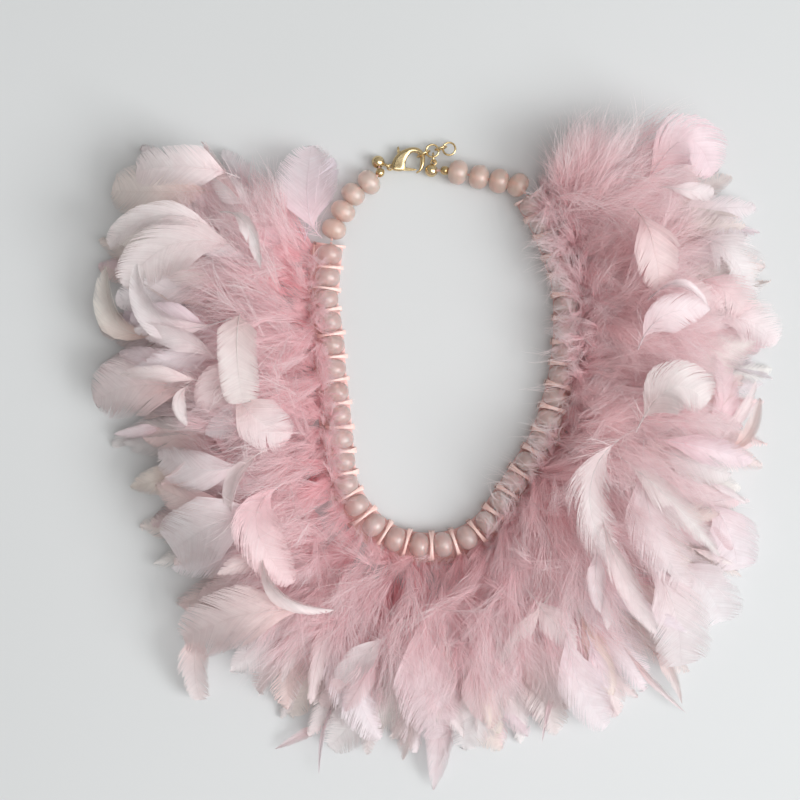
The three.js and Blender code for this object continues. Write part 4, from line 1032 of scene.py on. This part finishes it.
def between(a, b):
    a, b = np.array(a), np.array(b)
    d = b - a
    return [*((a + b) / 2), FZ], [*d, 0.0], float(np.hypot(*d)) / 2


for name, a, b, body in (("chain_ring_1", [-8.4, 118.0], [-3.5, 120.4], "back_strand"), ("chain_ring_3", [-2.1, 119.5], list(R_LOOP), "back_strand"),
                         ("chain_ring_4", [-1.2, 120.88], [3.2, 122.1], "tail_link")):
    c, d, r = between(a, b)
    v, f = torus(r, 0.42, d, UP, c)
    place(make_mesh("fine_" + name, v, f), name, body)
for name, c, body in (("chain_ring_2", [-2.4, 120.5, FZ], "back_strand"), ("chain_ring_5", [4.35, 121.3, FZ], "tail_end")):
    v, f = torus(2.5, 0.42, [1, 0, 0], [0, 1, 0], c)
    place(make_mesh("fine_" + name, v, f), name, body)

PIV = np.array([-15.8, 116.4])
CLASP = [[-3.2, -3.8], [-3.0, -1.2], [-2.0, 1.4], [0, 3.6], [2.4, 4.8], [5.2, 5.6], [7.6, 5.4], [9.4, 4.2], [10.4, 2.2], [10.5, -0.2],
         [9.9, -2.6], [8.6, -4.4], [6.8, -5.2], [6.9, -4.35], [8.1, -3.7], [8.5, -2.0], [8.7, 0], [8.5, 1.8], [7.2, 3.2], [5.2, 3.5],
         [3.8, 2.2], [2.92, 0.6], [2.64, -1.2], [2.4, -2.4], [1.6, -4.3]]
LEVER = [[-0.5, 1.2], [-0.9, 5.6], [0.1, 6.0], [0.6, 1.2], [1.4, 0.4], [1.6, -0.8], [1.7, -2.2], [3.6, -2.7], [7.0, -3.1], [7.1, -3.85],
         [3.4, -4.0], [1.0, -3.9], [-0.6, -2.6], [-1.2, -0.6], [-1.0, 0.6]]


def chaikin(pts, times):
    p = np.array(pts, float)
    for _ in range(times):
        nx = np.roll(p, -1, axis=0)
        p = np.stack([p * 0.75 + nx * 0.25, p * 0.25 + nx * 0.75], axis=1).reshape(-1, 2)
    return p


def plate(name, outline, thick, bevel, holes=(), shrink=0.0):
    """A flat piece with rounded edges, from an outline round the clasp's pivot."""
    cu = bpy.data.curves.new(name, "CURVE")
    cu.dimensions = "2D"
    cu.fill_mode = "BOTH"
    for pts in [outline, *holes]:
        sp = cu.splines.new("POLY")
        sp.points.add(len(pts) - 1)
        for q, (x, y) in zip(sp.points, pts):
            q.co = ((x + PIV[0]) * MM, (y + PIV[1]) * MM, 0, 1)
        sp.use_cyclic_u = True
    cu.extrude = (thick / 2 - bevel) * MM
    cu.bevel_depth = bevel * MM
    cu.bevel_resolution = 3
    cu.offset = -bevel * MM
    tmp = bpy.data.objects.new(name + "_c", cu)
    scene.collection.objects.link(tmp)
    tmp.location = (0, 0, FZ * MM)
    bpy.context.view_layer.update()
    dg = bpy.context.evaluated_depsgraph_get()
    me = bpy.data.meshes.new_from_object(tmp.evaluated_get(dg))
    me.transform(tmp.matrix_world)
    bpy.data.objects.remove(tmp)
    me.name = name
    me.materials.clear()
    ob = bpy.data.objects.new(name, me)
    scene.collection.objects.link(ob)
    return ob


eye = EYE - PIV
ring = lambda r, n=28: [[eye[0] + r * math.cos(2 * math.pi * k / n), eye[1] + r * math.sin(2 * math.pi * k / n)] for k in range(n)]
body = chaikin(CLASP, 2)
# the body's two cheeks as one plate with its rounded hook: the lever lies in its middle plane, between them
cheek = plate("clasp_shell", body, 2.0, 0.42)


def dome(ob, outline, voxel, half, rim, soft):
    """Rounds a plate over: full thickness well inside its outline, thinner towards the rim."""
    md = ob.modifiers.new("even", "REMESH")
    md.mode = "VOXEL"
    md.voxel_size = voxel * MM
    bpy.context.view_layer.update()
    me = bpy.data.meshes.new_from_object(ob.evaluated_get(bpy.context.evaluated_depsgraph_get()))
    ob.modifiers.clear()
    ob.data = me
    n = len(me.vertices)
    co = np.empty(n * 3, np.float32)
    me.vertices.foreach_get("co", co)
    co = co.reshape(-1, 3).astype(float)
    xy = co[:, :2] / MM - PIV
    a, b = np.asarray(outline), np.roll(np.asarray(outline), -1, axis=0)
    ab = b - a
    t = np.clip(((xy[:, None] - a) * ab).sum(-1) / (ab ** 2).sum(-1), 0, 1)
    d = np.linalg.norm(xy[:, None] - (a + ab * t[..., None]), axis=-1).min(1)
    top = rim + (half - rim) * np.sqrt(1 - (1 - np.clip(d / soft, 0, 1)) ** 2)
    z = co[:, 2] / MM - FZ
    co[:, 2] = (FZ + z / np.maximum(np.abs(z).max(), 1e-6) * top) * MM
    me.vertices.foreach_set("co", co.astype(np.float32).ravel())
    me.polygons.foreach_set("use_smooth", np.ones(len(me.polygons), bool))
    me.update()


dome(cheek, body, 0.13, 1.12, 0.45, 1.3)
eyelet = plate("clasp_eye", ring(1.4), 1.0, 0.22, holes=[ring(0.72)[::-1]])
bpy.ops.object.select_all(action="DESELECT")
cheek.select_set(True)
eyelet.select_set(True)
bpy.context.view_layer.objects.active = cheek
bpy.ops.object.join()
place(cheek, "clasp_body", "back_strand")
lever = plate("clasp_thumb_lever", chaikin(LEVER, 2), 0.62, 0.2)
place(lever, "clasp_lever", "lever")

# ---------------------------------------------------------------- floor, light
bpy.ops.mesh.primitive_plane_add(size=6.0, location=(0, 0, -0.0002))
floor = bpy.context.object
floor.name = "table"
m, nt, bs, out = node_material("table_top")
n = noise(nt, 3.0, 2.0)
c = ramp(nt, n.outputs[0], [(0.3, (0.615, 0.632, 0.638)), (0.7, (0.64, 0.656, 0.666))])
nt.links.new(c, bs.inputs["Base Color"])
bs.inputs["Roughness"].default_value = 0.55
bs.inputs["Specular IOR Level"].default_value = 0.3
floor.data.materials.append(m)


def area(name, loc, aim, size, power, colour=(1, 1, 1)):
    li = bpy.data.lights.new(name, "AREA")
    li.shape = "RECTANGLE"
    li.size, li.size_y = size
    li.energy = power
    li.color = colour
    ob = bpy.data.objects.new(name, li)
    scene.collection.objects.link(ob)
    ob.location = loc
    ob.rotation_euler = (Vector(aim) - Vector(loc)).to_track_quat("-Z", "Y").to_euler()
    return ob


area("window", (2.0, -0.75, 1.75), (0, 0, 0), (1.5, 1.2), 50.0, (0.985, 0.995, 1.0))
area("skylight", (0.36, -0.16, 1.3), (0.02, 0, 0), (0.9, 1.0), 8.0, (1.0, 1.0, 1.0))
world = bpy.data.worlds.new("room")
scene.world = world
world.use_nodes = True
wn = world.node_tree
wn.nodes.clear()
wo = wn.nodes.new("ShaderNodeOutputWorld")
bg = wn.nodes.new("ShaderNodeBackground")
tc = wn.nodes.new("ShaderNodeTexCoord")
sx = wn.nodes.new("ShaderNodeSeparateXYZ")
wn.links.new(tc.outputs["Generated"], sx.inputs[0])
mr = wn.nodes.new("ShaderNodeMapRange")
mr.inputs["From Min"].default_value = -1.0
mr.inputs["From Max"].default_value = 1.0
wn.links.new(sx.outputs["X"], mr.inputs["Value"])
wr = wn.nodes.new("ShaderNodeValToRGB")
wr.color_ramp.elements[0].position = 0.0
wr.color_ramp.elements[0].color = (0.44, 0.425, 0.395, 1)
wr.color_ramp.elements[1].position = 1.0
wr.color_ramp.elements[1].color = (0.93, 0.92, 0.91, 1)
wn.links.new(mr.outputs[0], wr.inputs[0])
# darker straight overhead and towards the horizon, as a room is
zr = wn.nodes.new("ShaderNodeValToRGB")
while len(zr.color_ramp.elements) < 5:
    zr.color_ramp.elements.new(0.5)
for e, (pos_, val) in zip(zr.color_ramp.elements, ((0.0, 0.8), (0.5, 0.55), (0.68, 1.1), (0.93, 1.15), (0.985, 0.35))):
    e.position = pos_
    e.color = (val, val, val, 1)
mz = wn.nodes.new("ShaderNodeMapRange")
mz.inputs["From Min"].default_value = -1.0
mz.inputs["From Max"].default_value = 1.0
wn.links.new(sx.outputs["Z"], mz.inputs["Value"])
wn.links.new(mz.outputs[0], zr.inputs[0])
wm = wn.nodes.new("ShaderNodeMix")
wm.data_type = "RGBA"
wm.blend_type = "MULTIPLY"
wm.inputs[0].default_value = 1.0
wn.links.new(wr.outputs[0], wm.inputs[6])
wn.links.new(zr.outputs[0], wm.inputs[7])
wn.links.new(wm.outputs[2], bg.inputs["Color"])
bg.inputs["Strength"].default_value = 0.60
wn.links.new(bg.outputs[0], wo.inputs["Surface"])

faces = sum(len(o.data.polygons) for o in scene.objects if o.type == "MESH" and not o.hide_render)
print("faces shown", faces, "objects", len(scene.objects))
